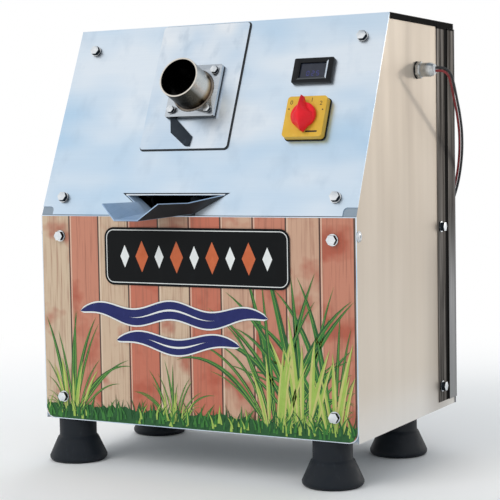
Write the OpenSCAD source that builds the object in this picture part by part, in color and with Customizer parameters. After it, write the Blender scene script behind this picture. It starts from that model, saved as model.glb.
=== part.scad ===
// Cabinet sugarcane juicer: a sheet steel body on four rubber feet, a sloped front with the
// feed tube, switch and meter, and a geared two-roller mill inside.
// The cabinet frame has X to the right, Y to the back from the lower front panel's face and
// Z up from the underside of the body.

/* [Cabinet] */
// Width over the side panels
cab_w = 406; // [380:1:440]
// Depth from the lower front panel to the rear
cab_d = 285; // [275:1:310]
// Height of the body without its feet
cab_h = 460; // [450:1:490]
// Height of the lower front panel
lower_h = 241; // [232:1:248]
// How far the sloped panel leans back at its top
setback = 94; // [86:1:102]
// Thickness of the cabinet's sheet steel
sheet_t = 1.2; // [1:0.1:1.6]
// Thickness of the base pan
pan_t = 2; // [1.5:0.5:3]
// Height of the base pan's upturned edge
pan_lip = 16; // [10:1:18]
// Width of the fixing flanges behind the front panels
flange_w = 40; // [36:1:50]
// Clearance between pieces that meet edge to edge
seam = 0.3; // [0.2:0.1:0.5]
// Radius of the lower front panel's bottom corners
front_r = 12; // [6:1:20]
// Width of the notches at the sloped panel's lower corners
relief_w = 16; // [10:1:20]
// Height of the notches at the sloped panel's lower corners
relief_h = 10; // [7:1:12]
// Corner radius of those notches
relief_r = 5; // [3:0.5:6]
// Thickness of the printed vinyl on the lower front panel
vinyl_t = 0.4; // [0.2:0.1:0.6]
// Margin of bare steel around the vinyl
vinyl_edge = 1; // [0.5:0.5:3]

/* [Cover] */
// Width of the cover's flange over each side panel
cover_flange = 54; // [48:1:60]
// Width of the doubled hem on that flange
cover_hem = 24; // [16:1:30]
// Height of the lip at the top of each side
cover_lip = 7; // [5:1:12]
// Gap below the flange to the bottom edge
cover_lift = 8; // [4:1:14]
// Number of vent slots in each column at the rear
vent_n = 6; // [3:1:8]
// Length of a vent slot
vent_l = 60; // [40:1:80]
// Width of a vent slot
vent_w = 5; // [3:0.5:7]
// Spacing of the vent slots
vent_pitch = 14; // [10:1:16]
// Distance of each vent column from the middle
vent_x = 120; // [105:1:135]
// Height of the lowest vent slot
vent_z = 60; // [40:1:80]

/* [Feet] */
// Height of a foot
foot_h = 52; // [40:1:60]
// Radius of a foot's neck
foot_neck_r = 22; // [18:0.5:22]
// Length of a foot's neck
foot_neck_h = 24; // [14:1:28]
// Bevel below a foot's neck
foot_bevel = 2; // [1:0.5:3]
// Radius of a foot's widest ring
foot_r = 34; // [28:0.5:34]
// Height of the rim below the widest ring
foot_rim_h = 6; // [3:0.5:8]
// Radius of the face that meets the floor
foot_floor_r = 31; // [24:0.5:31]
// Distance of the feet from the sides of the cabinet
foot_x = 35; // [33:1:53]
// Shift of the feet to the right
foot_shift_x = -7; // [-8:1:8]
// Distance of the front feet behind the front panel's face
foot_y = 24; // [24:1:40]
// Distance between the feet from front to rear
foot_pitch_y = 182; // [160:1:220]
// Radius of the pocket for the bolt's head
foot_pocket_r = 10; // [9:0.5:13]
// Depth of that pocket
foot_pocket_h = 30; // [15:1:32]

/* [Fasteners] */
// Diameter of the panel bolts
bolt_d = 6; // [5:0.5:6]
// Width across the flats of their heads and nuts
bolt_af = 10; // [9:0.5:10]
// Height of their heads
head_h = 4.5; // [3:0.5:5.5]
// Radius of their washers
washer_r = 6.5; // [6:0.5:7.5]
// Thickness of their washers
washer_t = 1.2; // [0.8:0.1:1.6]
// Height of their nuts
nut_h = 5; // [3:0.5:6]
// Free thread beyond a nut
bolt_end = 2; // [1:0.5:4]
// Radial clearance of a bolt in a plain hole
bolt_gap = 0.4; // [0.2:0.1:0.6]
// Radial clearance of a bolt in its nut
thread_gap = 0.05; // [0.02:0.01:0.1]
// Distance of the panel bolts from the sides of the cabinet
panel_bolt_edge = 27; // [23:1:31]
// Height of the lower bolts in the front panel
front_bolt_z0 = 27; // [26:1:34]
// Distance of the upper bolts below the front panel's top
front_bolt_top = 25; // [23:1:37]
// Place of the lower bolts up the sloped panel
slope_bolt_s0 = 21; // [20:1:34]
// Distance of the upper bolts below the sloped panel's top
slope_bolt_top = 28.3; // [24.5:0.1:48]
// Distance of the cover bolts from the rear
cover_bolt_y = 46; // [38:1:46]
// Height of the lower cover bolts
cover_bolt_z0 = 27; // [26:1:40]
// Height of the upper cover bolts
cover_bolt_z1 = 218; // [180:1:260]

/* [Feed] */
// Place of the feed tube across the sloped panel
feed_x = -22; // [-30:1:-14]
// Place of the feed tube up the sloped panel
feed_s = 149; // [144:1:154]
// Outer radius of the feed tube
tube_r = 24.15; // [22:0.05:25]
// Wall of the feed tube
tube_wall = 2; // [1.5:0.1:4]
// Reach of the feed tube in front of the sloped panel
tube_out = 44; // [35:1:60]
// Reach of the feed tube behind the sloped panel's face
tube_in = 12; // [8:1:13]
// Width and height of the tube's flange
tube_flange = 64; // [62:1:70]
// Thickness of the tube's flange
tube_flange_t = 4; // [3:0.5:6]
// Corner radius of the tube's flange
tube_flange_r = 2; // [1:0.5:4]
// Spacing of the flange bolts
flange_pitch = 48; // [46:0.5:50]
// Diameter of the flange bolts
flange_bolt_d = 5; // [4:0.5:5]
// Width across the flats of the flange bolts
flange_bolt_af = 8; // [7:0.5:8]
// Height of the flange bolts' heads
flange_head_h = 3.5; // [2.5:0.5:4.5]
// Radius of the flange bolts' washers
flange_washer_r = 4.8; // [4.5:0.1:5.2]
// Thickness of the rubber gasket below the flange
gasket_t = 2; // [1.5:0.5:3]
// Length of the gasket's tongue below the flange
tongue_l = 45; // [30:1:46]
// Lean of the gasket's tongue towards the middle
tongue_a = 40; // [30:1:45]
// Distance of the tongue's root from the flange's left edge
tongue_x = 8.3; // [7:0.1:14]
// Width of the tongue at its root
tongue_neck = 5.5; // [4:0.5:8]
// Length of the tongue's root below the flange
tongue_root = 5; // [3:0.5:6]
// Reach of the tongue's left edge from its middle line
tongue_left = 10.3; // [6:0.1:12]
// Distance of the widest place on the left from the root
tongue_belly = 15; // [10:1:20]
// Reach of the tongue's right corner from its middle line
tongue_right = 8.7; // [6:0.1:12]
// Length of the slant between the right corner and the tip
tongue_slant = 8; // [4:0.5:10]
// Width and height of the tongue's blunt tip
tongue_tip = 4.5; // [2:0.5:6]
// Width of the feed plate
plate_w = 115; // [100:1:125]
// Shift of the feed plate's middle from the tube
plate_shift = -3.5; // [-5:0.5:4]
// Place of the feed plate's lower edge up the sloped panel
plate_s = 79.5; // [68:0.5:82]
// Thickness of the feed plate
plate_t = 2.5; // [1.5:0.5:3]
// Corner radius of the feed plate
plate_r = 4; // [2:0.5:8]

/* [Spout] */
// Sheet thickness of the spout and the juice tray
spout_t = 1.5; // [1.2:0.1:2]
// How far a fold stands proud of the sheet
fold_proud = 0.1; // [0.05:0.05:0.2]
// Left end of the mouth's top edge
mouth_x0 = -89; // [-94:1:-84]
// Right end of the mouth's top edge
mouth_x1 = 41; // [36:1:46]
// Left end of the mouth's floor
floor_x0 = -58; // [-62:1:-52]
// Right end of the mouth's floor
floor_x1 = 5; // [0:1:10]
// Place of the mouth's floor up the sloped panel
mouth_s0 = 2.5; // [2:0.5:4]
// Place of the mouth's top edge up the sloped panel
mouth_s1 = 24.5; // [20:0.5:28]
// Reach of the pouring lip in front of the lower panel
lip_reach = 50; // [40:1:60]
// Left end of the pouring lip
lip_x0 = -67; // [-72:1:-62]
// Right end of the pouring lip
lip_x1 = -37; // [-42:1:-32]
// Drop of the pouring lip below the sloped panel's foot
lip_drop = 4; // [2:0.5:8]
// Rise of the spout's rim above the sloped panel's foot
rim_rise = 14; // [10:0.5:17]
// Reach of the rim's front corners
rim_reach = 42; // [30:1:46]
// Left end of the rim's front
rim_x0 = -88; // [-94:1:-80]
// Reach of the right wall's shoulder
shoulder_reach = 13; // [9:1:18]
// Place of the right wall's shoulder across the panel
shoulder_x = 6; // [0:1:12]
// Depth of the spout's collar behind the panel
collar_depth = 14; // [10:1:18]
// Rise of the collar towards the juice tray
collar_rise = 2.5; // [1:0.5:4]

/* [Controls] */
// Distance of the switch from the right side of the cabinet
control_edge = 76; // [69:1:85]
// Place of the switch up the sloped panel
switch_s = 112; // [106:1:116]
// Width and height of the switch plate
switch_w = 48; // [44:1:52]
// Thickness of the switch plate
switch_t = 10; // [7:0.5:12]
// Corner radius of the switch plate
switch_r = 4; // [2:0.5:6]
// Width and height of the switch's contact block
block_w = 42; // [38:1:44]
// Depth of the contact block
block_d = 42; // [30:1:44]
// Radius of the switch's shaft
shaft_r = 3.5; // [3:0.1:4]
// Depth of the shaft in the contact block
shaft_in = 20; // [12:1:24]
// Radius of the knob's disc
knob_r = 14.5; // [12:0.5:16]
// Thickness of the knob's disc
knob_disc_t = 6; // [4:0.5:8]
// Length of the knob's grip
grip_l = 42; // [36:1:44]
// Width of the knob's grip at its foot
grip_w = 17; // [12:0.5:20]
// Width of the knob's ridge
ridge_w = 4; // [2:0.5:6]
// Depth of the knob's ridge
ridge_t = 1; // [0.5:0.5:2]
// Height of the grip above the disc
grip_h = 14; // [8:0.5:18]
// Turn of the knob at rest
knob_turn = 8; // [0:1:12]
// Gap between the knob and the switch plate
knob_gap = 0.4; // [0.3:0.1:0.8]
// Shift of the meter from the switch
meter_shift = -3; // [-6:1:6]
// Place of the meter up the sloped panel
meter_s = 170; // [165:1:176]
// Width of the meter's bezel
meter_w = 48; // [44:1:52]
// Height of the meter's bezel
meter_h = 29.5; // [27:0.5:32]
// Thickness of the meter's bezel
meter_t = 5; // [3:0.5:7]
// Corner radius of the meter's bezel
meter_r = 1.5; // [1:0.5:3]
// Width of the bezel outside the panel's cut-out
meter_edge = 1.8; // [1.5:0.1:3]
// Depth of the meter's case behind the panel
meter_d = 22; // [14:1:26]
// Width of the meter's window
window_w = 32; // [28:0.5:36]
// Height of the meter's window
window_h = 18.5; // [15:0.5:20]
// Depth of the meter's window below the bezel
window_d = 2; // [1.5:0.5:2.5]
// Thickness of the meter's lens
lens_t = 1.5; // [1:0.5:2]

/* [Mill] */
// Depth of the nip behind the sloped panel's face
nip_depth = 52; // [51:0.5:58]
// Radius of the rollers
roller_r = 38; // [36:0.5:39]
// Gap between the rollers
nip_gap = 2; // [1:0.5:3]
// Length of the rollers
roller_l = 100; // [90:1:104]
// Radius of the roller shafts
journal_r = 14; // [11:0.5:15]
// Reach of the roller shafts beyond the gears
shaft_end = 4; // [2:1:6]
// Reach of the roller shafts beyond the left side plate
left_end = 8; // [4:1:12]
// Number of grooves along each roller
groove_n = 24; // [12:2:30]
// Width of a groove
groove_w = 3; // [2:0.5:4]
// Depth of a groove
groove_d = 1.5; // [1:0.5:2]
// Thickness of the mill's side plates
mill_t = 8; // [6:1:10]
// Front edge of the side plates behind the front panel's face
mill_y0 = 58; // [52:1:62]
// Rear edge of the side plates behind the front panel's face
mill_y1 = 212; // [206:1:220]
// Height of the side plates above the upper shaft
mill_top = 28; // [24:1:34]
// Clearance of the side plates behind the sloped panel's face
mill_gap = 16; // [13:1:20]
// Outer radius of the bushes
bush_r = 20; // [18:0.5:22]
// Radius of the bushes' flanges
bush_flange_r = 24; // [23:0.5:27]
// Thickness of the bushes' flanges
bush_flange_t = 1.5; // [1:0.1:2]
// Axial play between a roller and each bush
roller_play = 0.5; // [0.3:0.1:0.8]
// Radial running clearance of shafts in their bores
run_gap = 0.05; // [0.02:0.01:0.09]
// Radius of the tie bars
tie_r = 8; // [6:0.5:9]
// Radius of the tie bars' threaded ends
tie_end_r = 5; // [4:0.5:5]
// Width across the flats of the tie bars' nuts
tie_nut_af = 16; // [14:0.5:18]
// Height of the lower tie bars
tie_z = 70; // [55:1:90]
// Distance of the tie bars from the plates' edges
tie_edge = 20; // [15:1:22]
// Leg of the angles that hold the side plates
angle_leg = 30; // [26:1:36]
// Thickness of those angles
angle_t = 4; // [3:0.5:5]
// Length of those angles
angle_l = 120; // [100:1:140]

/* [Drive] */
// Teeth on each roller gear
roller_teeth = 26; // [26:2:26]
// Teeth on the drive pinion
pinion_teeth = 18; // [16:1:20]
// Pressure angle of the teeth
pressure_a = 20; // [20:0.5:22]
// Backlash of each gear
backlash = 0.3; // [0.2:0.05:0.5]
// Face width of the gears
gear_w = 20; // [14:1:24]
// Gap between the side plate and the gears
gear_gap = 6; // [4:1:8]
// Roller gear teeth from the upper roller round to the pinion
pinion_step = 9; // [9:1:9]
// Radius of the gearbox's output shaft
output_r = 10; // [8:0.5:11]
// Gap between the gears and the gearbox
gearbox_gap = 10; // [8:1:14]
// Radius of the gearbox's wheel housing
gearbox_r = 52; // [50:1:54]
// Width of the gearbox
gearbox_w = 70; // [60:1:72]
// Distance of the motor's axis behind the output shaft
worm_y = 45; // [42:1:50]
// Height of the gearbox below the output shaft
gearbox_drop = 55; // [54:1:60]
// Width and depth of the worm housing
worm_w = 56; // [50:1:60]
// Radius of the motor
motor_r = 42; // [36:1:44]
// Length of the motor
motor_l = 150; // [120:1:155]
// Height of the motor's mounting ring
motor_ring_h = 8; // [5:1:12]
// Step between that ring and the motor's body
motor_step = 3; // [2:0.5:5]
// Length of the motor's tail cap
motor_cap_l = 30; // [20:1:40]
// Rounding of the tail cap's end
motor_cap_r = 6; // [3:0.5:8]
// Radius of the stand-offs
standoff_r = 6; // [5:0.5:7]
// Radius of the stand-offs' threaded ends
standoff_end_r = 4; // [3:0.5:4.5]
// Length of the stand-offs' ends in the gearbox
standoff_in = 12; // [8:1:16]
// Distance of the stand-offs from the output shaft
standoff_ring = 44; // [42:0.5:45]

/* [Chutes] */
// Drop of the waste chute's floor below the nip
chute_drop = 33; // [30:1:36]
// Gap between the chute and the lower roller
chute_gap = 1; // [0.5:0.5:2]
// Sheet thickness of the waste chute
chute_t = 1.5; // [1:0.1:2]
// Height of the waste chute's walls
chute_wall = 52; // [40:1:56]
// Reach of the waste chute behind the cabinet
chute_out = 29; // [20:1:40]
// Side clearance of the waste chute in the rear slot
slot_gap = 2; // [1.5:0.5:4]
// Rear end of the juice tray
tray_y1 = 140; // [130:1:146]
// Place where the juice tray starts to narrow
tray_y0 = 56; // [48:1:60]
// Rise of the tray's floor along its length
tray_rise = 22; // [14:1:24]
// Height of the tray's walls
tray_wall = 15; // [10:1:18]
// Side clearance of the tray between the mill plates
tray_gap = 0.3; // [0.2:0.1:0.6]
// Side clearance of the tray's nose in the spout's collar
nose_gap = 6; // [5:0.5:8]

/* [Cable] */
// Place of the cable gland behind the front panel's face
gland_y = 171; // [155:1:185]
// Distance of the cable gland below the top
gland_top = 60; // [50:1:75]
// Radius of the gland's thread
gland_r = 6; // [5:0.5:7]
// Width across the flats of the gland's hexagons
gland_af = 17; // [15:0.5:19]
// Length of the gland's hexagon
gland_hex_l = 6; // [4:0.5:10]
// Length of the gland's dome nut
dome_l = 16; // [12:0.5:26]
// Radius of the dome nut
dome_r = 8; // [7:0.5:9]
// Length of the dome nut's tapered nose
dome_taper = 5; // [3:0.5:8]
// Radius of the dome nut's nose
nose_r = 6; // [5:0.5:6.5]
// Thickness of the gland's locknut
locknut_t = 4; // [3:0.5:6]
// Diameter of each wire
wire_d = 3; // [2.5:0.1:3.2]
// Distance between the two wires
wire_pitch = 3.5; // [3.4:0.1:4]
// Radius of a ring terminal's barrel
barrel_r = 2.2; // [1.9:0.1:2.4]
// Length of a ring terminal's barrel
barrel_l = 12; // [8:1:16]
// Outer radius of a ring terminal
ring_r = 6; // [5:0.5:7]
// Radius of a ring terminal's hole
ring_hole_r = 3.2; // [2.5:0.1:3.5]
// Thickness of a ring terminal
ring_t = 1; // [0.8:0.1:1.2]

/* [Hidden] */
$fn = 64;

// How far a cut runs past the faces that it opens
over = 1;
half_w = cab_w / 2;
inner_x = half_w - sheet_t;
slope_a = atan2(setback, cab_h - lower_h);
slope_l = norm([setback, cab_h - lower_h]);
rear_y = cab_d + chute_out;
row_y = (rear_y - lip_reach) / 2;
front_top = lower_h - sheet_t * sin(slope_a) - seam;
plate_top = slope_l - plate_t;
bolt_hole_r = bolt_d / 2 + bolt_gap;
panel_bolt_x = half_w - panel_bolt_edge;
front_bolt_z1 = lower_h - front_bolt_top;
slope_bolt_s1 = slope_l - slope_bolt_top;
control_x = half_w - control_edge;
gland_z = cab_h - gland_top;

// Cabinet Y and Z of a place s up the sloped panel and d behind its face
function slope_at(s, d) = [
    s * sin(slope_a) + d * cos(slope_a), lower_h + s * cos(slope_a) - d * sin(slope_a)
];
function slope_point(x, s, d) = [x, slope_at(s, d)[0], slope_at(s, d)[1]];
// Height, at a cabinet Y, of a line that runs square into the sloped panel from s
function chute_z(s, y) = lower_h + s * cos(slope_a) - (y - s * sin(slope_a)) * tan(slope_a);

roller_pitch = 2 * roller_r + nip_gap;
gear_m = roller_pitch / roller_teeth;
lower_s = feed_s - roller_pitch / 2;
upper_s = feed_s + roller_pitch / 2;
lower_yz = slope_at(lower_s, nip_depth);
upper_yz = slope_at(upper_s, nip_depth);
pinion_a = 90 - pinion_step * 360 / roller_teeth;
drive_pitch = gear_m * (roller_teeth + pinion_teeth) / 2;
pinion_yz = slope_at(lower_s + drive_pitch * sin(pinion_a), nip_depth + drive_pitch * cos(pinion_a));
mill_half = roller_l / 2 + roller_play + bush_flange_t;
mill_x0 = feed_x - mill_half;
mill_x1 = feed_x + mill_half;
mill_z1 = upper_yz[1] + mill_top;
mill_top_s = (mill_z1 - lower_h + mill_gap * sin(slope_a)) / cos(slope_a);
mill_low_s = (mill_y0 - mill_gap * cos(slope_a)) / sin(slope_a);
mill_outline = [
    [mill_y0, pan_t], [mill_y1, pan_t], [mill_y1, mill_z1],
    slope_at(mill_top_s, mill_gap), slope_at(mill_low_s, mill_gap)
];
gear_x = mill_x1 + mill_t + gear_gap;
gearbox_x = gear_x + gear_w + gearbox_gap;
motor_x = gearbox_x + gearbox_w / 2;
standoff_angles = [20, 200, 280];
standoff_yz = [
    for (a = standoff_angles) pinion_yz + standoff_ring * [cos(a), sin(a)]
];
tie_yz = [
    [mill_y0 + tie_edge, tie_z], [mill_y1 - tie_edge, tie_z], [mill_y1 - tie_edge, mill_z1 - tie_edge]
];

// Placing

module in_cabinet() translate([0, -row_y, foot_h]) children();

// Local Y runs into the cabinet and local Z up the sloped panel
module on_slope(x, s) in_cabinet() translate([0, 0, lower_h]) rotate([-slope_a, 0, 0])
    translate([x, 0, s]) children();

// A flat outline in X and Z as a plate that runs back from Y = 0
module plate_xz(t) rotate([90, 0, 0]) translate([0, 0, -t]) linear_extrude(t) children();

// A flat outline in Y and Z as a plate that runs along X from x
module plate_yz(x, t) translate([x, 0, 0]) rotate([90, 0, 90]) linear_extrude(t) children();

// A round bar along Y
module bar_y(y0, y1, r) translate([0, y0, 0]) rotate([-90, 0, 0]) cylinder(r = r, h = y1 - y0);

// A round bar along X
module bar_x(x0, x1, r) translate([x0, 0, 0]) rotate([0, 90, 0]) cylinder(r = r, h = x1 - x0);

// A hexagon bar along X
module hex_x(x0, x1, af) translate([x0, 0, 0]) rotate([0, 90, 0])
    cylinder(d = af / cos(30), h = x1 - x0, $fn = 6);

// Moves to a cabinet Y and Z
module at_yz(yz) translate([0, yz[0], yz[1]]) children();

// Shapes that repeat

module rounded(w, h, r) {
    square([w - 2 * r, h], center = true);
    square([w, h - 2 * r], center = true);
    for (x = [-1, 1], y = [-1, 1])
        translate([x * (w / 2 - r), y * (h / 2 - r)]) circle(r);
}

module at_four(x, y) for (i = [-1, 1], j = [-1, 1]) translate([i * x, j * y]) children();

function unit(v) = v / norm(v);

// A flat plate of sheet through corners that lie in one plane
module flat_plate(corners, t) {
    origin = corners[0];
    along = unit(corners[1] - origin);
    normal = unit(cross(along, corners[2] - origin));
    across = cross(normal, along);
    multmatrix([for (i = [0 : 2]) [along[i], across[i], normal[i], origin[i]]])
        linear_extrude(t, center = true)
            polygon([for (p = corners) [(p - origin) * along, (p - origin) * across]]);
}

// A round bar along the fold between two plates
module fold(a, b, r) {
    way = b - a;
    translate(a) rotate([0, acos(way[2] / norm(way)), atan2(way[1], way[0])]) cylinder(r = r, h = norm(way));
}

// A hexagon bolt with its head at the front and its shank along +Y
module bolt(grip, d, af, h, wr) {
    inset = washer_t / 2;
    bar_y(-inset, grip + nut_h + bolt_end, d / 2);
    bar_y(-washer_t, 0, wr);
    rotate([90, 0, 0]) translate([0, 0, inset]) cylinder(d = af / cos(30), h = h + inset, $fn = 6);
}

module nut(grip, d, af) difference() {
    translate([0, grip, 0]) rotate([-90, 0, 0]) cylinder(d = af / cos(30), h = nut_h, $fn = 6);
    bar_y(grip - over, grip + nut_h + over, d / 2 + thread_gap);
}

module panel_bolt(grip) {
    bolt(grip, bolt_d, bolt_af, head_h, washer_r);
    nut(grip, bolt_d, bolt_af);
}

// Cabinet

module base_pan() color("silver") in_cabinet() difference() {
    translate([-inner_x, 2 * sheet_t, 0]) cube([2 * inner_x, cab_d - 3 * sheet_t, pan_lip]);
    translate([-inner_x + pan_t, 2 * sheet_t + pan_t, pan_t])
        cube([2 * (inner_x - pan_t), cab_d - 3 * sheet_t - 2 * pan_t, pan_lip]);
    foot_places() translate([0, 0, -over]) cylinder(r = bolt_hole_r, h = pan_t + 2 * over);
    mill_bolt_places() translate([0, 0, -over]) cylinder(r = bolt_hole_r, h = pan_t + 2 * over);
}

// The right side panel with its two fixing flanges; hole_r is the gland's hole, or zero
module side_panel(hole_r) {
    top_z = cab_h - sheet_t;
    top_y = setback * (top_z - lower_h) / (cab_h - lower_h) + sheet_t / cos(slope_a);
    difference() {
        union() {
            plate_yz(inner_x, sheet_t) polygon([
                [sheet_t, 0], [cab_d - sheet_t, 0], [cab_d - sheet_t, top_z], [top_y, top_z],
                [sheet_t, lower_h - sheet_t * tan(slope_a / 2)]
            ]);
            translate([half_w - flange_w, sheet_t, pan_t])
                cube([flange_w, sheet_t, front_top - pan_t - relief_h]);
            translate([0, 0, lower_h]) rotate([-slope_a, 0, 0])
                translate([half_w - flange_w, sheet_t, 0]) cube([flange_w, sheet_t, slope_l - relief_h]);
        }
        for (z = [front_bolt_z0, front_bolt_z1])
            translate([panel_bolt_x, 0, z]) bar_y(0, 3 * sheet_t, bolt_hole_r);
        for (s = [slope_bolt_s0, slope_bolt_s1])
            translate([0, 0, lower_h]) rotate([-slope_a, 0, 0])
                translate([panel_bolt_x, 0, s]) bar_y(0, 3 * sheet_t, bolt_hole_r);
        for (z = [cover_bolt_z0, cover_bolt_z1])
            translate([0, cab_d - cover_bolt_y, z]) bar_x(inner_x - over, half_w + over, bolt_hole_r);
        if (hole_r > 0) translate([0, gland_y, gland_z]) bar_x(inner_x - over, half_w + over, hole_r);
    }
}

module side_panel_left() color("tan") in_cabinet() mirror([1, 0, 0]) side_panel(0);

module side_panel_right() color("tan") in_cabinet() side_panel(gland_r + seam);

module front_outline(edge) {
    w = cab_w - 2 * edge;
    translate([-w / 2, front_r]) square([w, front_top - edge - front_r]);
    translate([-w / 2 + front_r - edge, edge]) square([w - 2 * (front_r - edge), front_r]);
    for (x = [-1, 1]) translate([x * (half_w - front_r), front_r]) circle(front_r - edge);
}

module front_holes(r) for (x = [-1, 1], z = [front_bolt_z0, front_bolt_z1])
    translate([x * panel_bolt_x, z]) circle(r);

module front_panel() color("lightsteelblue") in_cabinet() plate_xz(sheet_t) difference() {
    front_outline(0);
    front_holes(bolt_hole_r);
}

module front_print() color("peru") in_cabinet() translate([0, -vinyl_t, 0]) plate_xz(vinyl_t) difference() {
    front_outline(vinyl_edge);
    front_holes(bolt_hole_r);
}

module relief() {
    square([relief_w - relief_r, relief_h]);
    square([relief_w, relief_h - relief_r]);
    translate([relief_w - relief_r, relief_h - relief_r]) circle(relief_r);
}

// Run of the mouth's slanted edges across the panel for each millimetre up it
lean_left = (floor_x0 - mouth_x0) / (mouth_s1 - mouth_s0);
lean_right = (mouth_x1 - floor_x1) / (mouth_s1 - mouth_s0);

// The spout's mouth in the sloped panel, open at the panel's foot
module mouth() {
    gap = 2 * (fold_r + seam);
    polygon([
        [floor_x0 - gap, -over], [floor_x1 + gap, -over], [floor_x1 + gap, mouth_s0],
        [mouth_x1 + gap * (1 + lean_right), mouth_s1 + gap],
        [mouth_x0 - gap * (1 + lean_left), mouth_s1 + gap], [floor_x0 - gap, mouth_s0]
    ]);
}

module flange_holes(r) at_four(flange_pitch / 2, flange_pitch / 2) circle(r);

module sloped_panel() color("lightsteelblue") on_slope(0, 0) plate_xz(sheet_t) difference() {
    translate([-half_w, 0]) square([cab_w, slope_l]);
    translate([-half_w, 0]) relief();
    translate([half_w, 0]) mirror([1, 0]) relief();
    mouth();
    translate([feed_x, feed_s]) circle(tube_r + seam);
    translate([feed_x, feed_s]) flange_holes(flange_bolt_d / 2 + bolt_gap);
    translate([control_x, switch_s]) circle(2 * shaft_r);
    translate([control_x + meter_shift, meter_s])
        square([meter_w - 2 * meter_edge + 2 * seam, meter_h - 2 * meter_edge + 2 * seam], center = true);
    for (x = [-1, 1], s = [slope_bolt_s0, slope_bolt_s1])
        translate([x * panel_bolt_x, s]) circle(bolt_hole_r);
}

module top_rear_cover() color("dimgray") in_cabinet() {
    out_x = half_w + sheet_t;
    top_y = setback + sheet_t / cos(slope_a) + seam;
    slot_z0 = chute_z(feed_s - chute_drop, cab_d) - (chute_t + slot_gap) / cos(slope_a);
    slot_z1 = chute_z(feed_s - chute_drop + chute_wall, cab_d - sheet_t) + slot_gap;
    slot_w = 2 * (mill_half + slot_gap);
    difference() {
        union() {
            translate([-out_x, top_y, cab_h - sheet_t]) cube([2 * out_x, cab_d - top_y, sheet_t]);
            translate([-out_x, cab_d - sheet_t, 0]) cube([2 * out_x, sheet_t, cab_h]);
            for (side = [0, 1]) mirror([side, 0, 0]) {
                translate([half_w, top_y, cab_h - cover_lip]) cube([sheet_t, cab_d - top_y, cover_lip]);
                translate([half_w, cab_d - cover_flange, cover_lift])
                    cube([sheet_t, cover_flange, cab_h - cover_lift]);
                translate([half_w, cab_d - cover_hem, cover_lift])
                    cube([2 * sheet_t, cover_hem, cab_h - cover_lip - cover_lift]);
            }
        }
        translate([feed_x - slot_w / 2, cab_d - 2 * sheet_t, slot_z0])
            cube([slot_w, 3 * sheet_t, slot_z1 - slot_z0]);
        for (side = [-1, 1], i = [0 : vent_n - 1])
            translate([side * vent_x - vent_l / 2, cab_d - 2 * sheet_t, vent_z + i * vent_pitch])
                cube([vent_l, 3 * sheet_t, vent_w]);
        for (z = [cover_bolt_z0, cover_bolt_z1])
            translate([0, cab_d - cover_bolt_y, z]) bar_x(-out_x - over, out_x + over, bolt_hole_r);
    }
}

// Feet

module foot_places() for (x = [-1, 1], y = [0, 1])
    translate([foot_shift_x + x * (half_w - foot_x), foot_y + y * foot_pitch_y, 0]) children();

module foot(x, y) color([0.07, 0.09, 0.12]) in_cabinet()
    translate([foot_shift_x + x * (half_w - foot_x), foot_y + y * foot_pitch_y, -foot_h])
        rotate_extrude() polygon([
            [foot_pocket_r, 0], [foot_floor_r, 0], [foot_r, foot_rim_h / 2], [foot_r, foot_rim_h],
            [foot_neck_r + foot_bevel, foot_h - foot_neck_h],
            [foot_neck_r, foot_h - foot_neck_h + foot_bevel],
            [foot_neck_r, foot_h], [bolt_hole_r, foot_h], [bolt_hole_r, foot_pocket_h],
            [foot_pocket_r, foot_pocket_h]
        ]);

module foot_front_left() foot(-1, 0);

module foot_front_right() foot(1, 0);

module foot_rear_left() foot(-1, 1);

module foot_rear_right() foot(1, 1);

module foot_bolts() color("gainsboro") in_cabinet() foot_places()
    translate([0, 0, foot_pocket_h - foot_h]) rotate([90, 0, 0])
        panel_bolt(foot_h - foot_pocket_h + pan_t);

// Panel fasteners

module front_bolts() color("gainsboro") in_cabinet()
    for (x = [-1, 1], z = [front_bolt_z0, front_bolt_z1])
        translate([x * panel_bolt_x, -vinyl_t, z]) panel_bolt(vinyl_t + 2 * sheet_t);

module slope_bolts() color("gainsboro") for (x = [-1, 1], s = [slope_bolt_s0, slope_bolt_s1])
    on_slope(x * panel_bolt_x, s) panel_bolt(2 * sheet_t);

module cover_bolts() color("gainsboro") in_cabinet()
    for (side = [0, 1], z = [cover_bolt_z0, cover_bolt_z1])
        mirror([side, 0, 0]) translate([half_w + sheet_t, cab_d - cover_bolt_y, z])
            rotate([0, 0, 90]) panel_bolt(2 * sheet_t);

// Feed

module feed_plate() color("lightsteelblue") on_slope(feed_x, 0) translate([0, -plate_t, 0]) plate_xz(plate_t)
    difference() {
        translate([plate_shift, (plate_s + plate_top) / 2]) rounded(plate_w, plate_top - plate_s, plate_r);
        translate([0, feed_s]) circle(tube_r + seam);
        translate([0, feed_s]) flange_holes(flange_bolt_d / 2 + bolt_gap);
    }

module feed_tube() color("silver") on_slope(feed_x, feed_s) difference() {
    union() {
        bar_y(-tube_out, tube_in, tube_r);
        translate([0, -plate_t - gasket_t - tube_flange_t, 0]) plate_xz(tube_flange_t)
            rounded(tube_flange, tube_flange, tube_flange_r);
    }
    bar_y(-tube_out - over, tube_in + over, tube_r - tube_wall);
    for (x = [-1, 1], z = [-1, 1]) translate([x * flange_pitch / 2, 0, z * flange_pitch / 2])
        bar_y(-plate_t - gasket_t - tube_flange_t - over, -plate_t, flange_bolt_d / 2 + bolt_gap);
}

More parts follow.
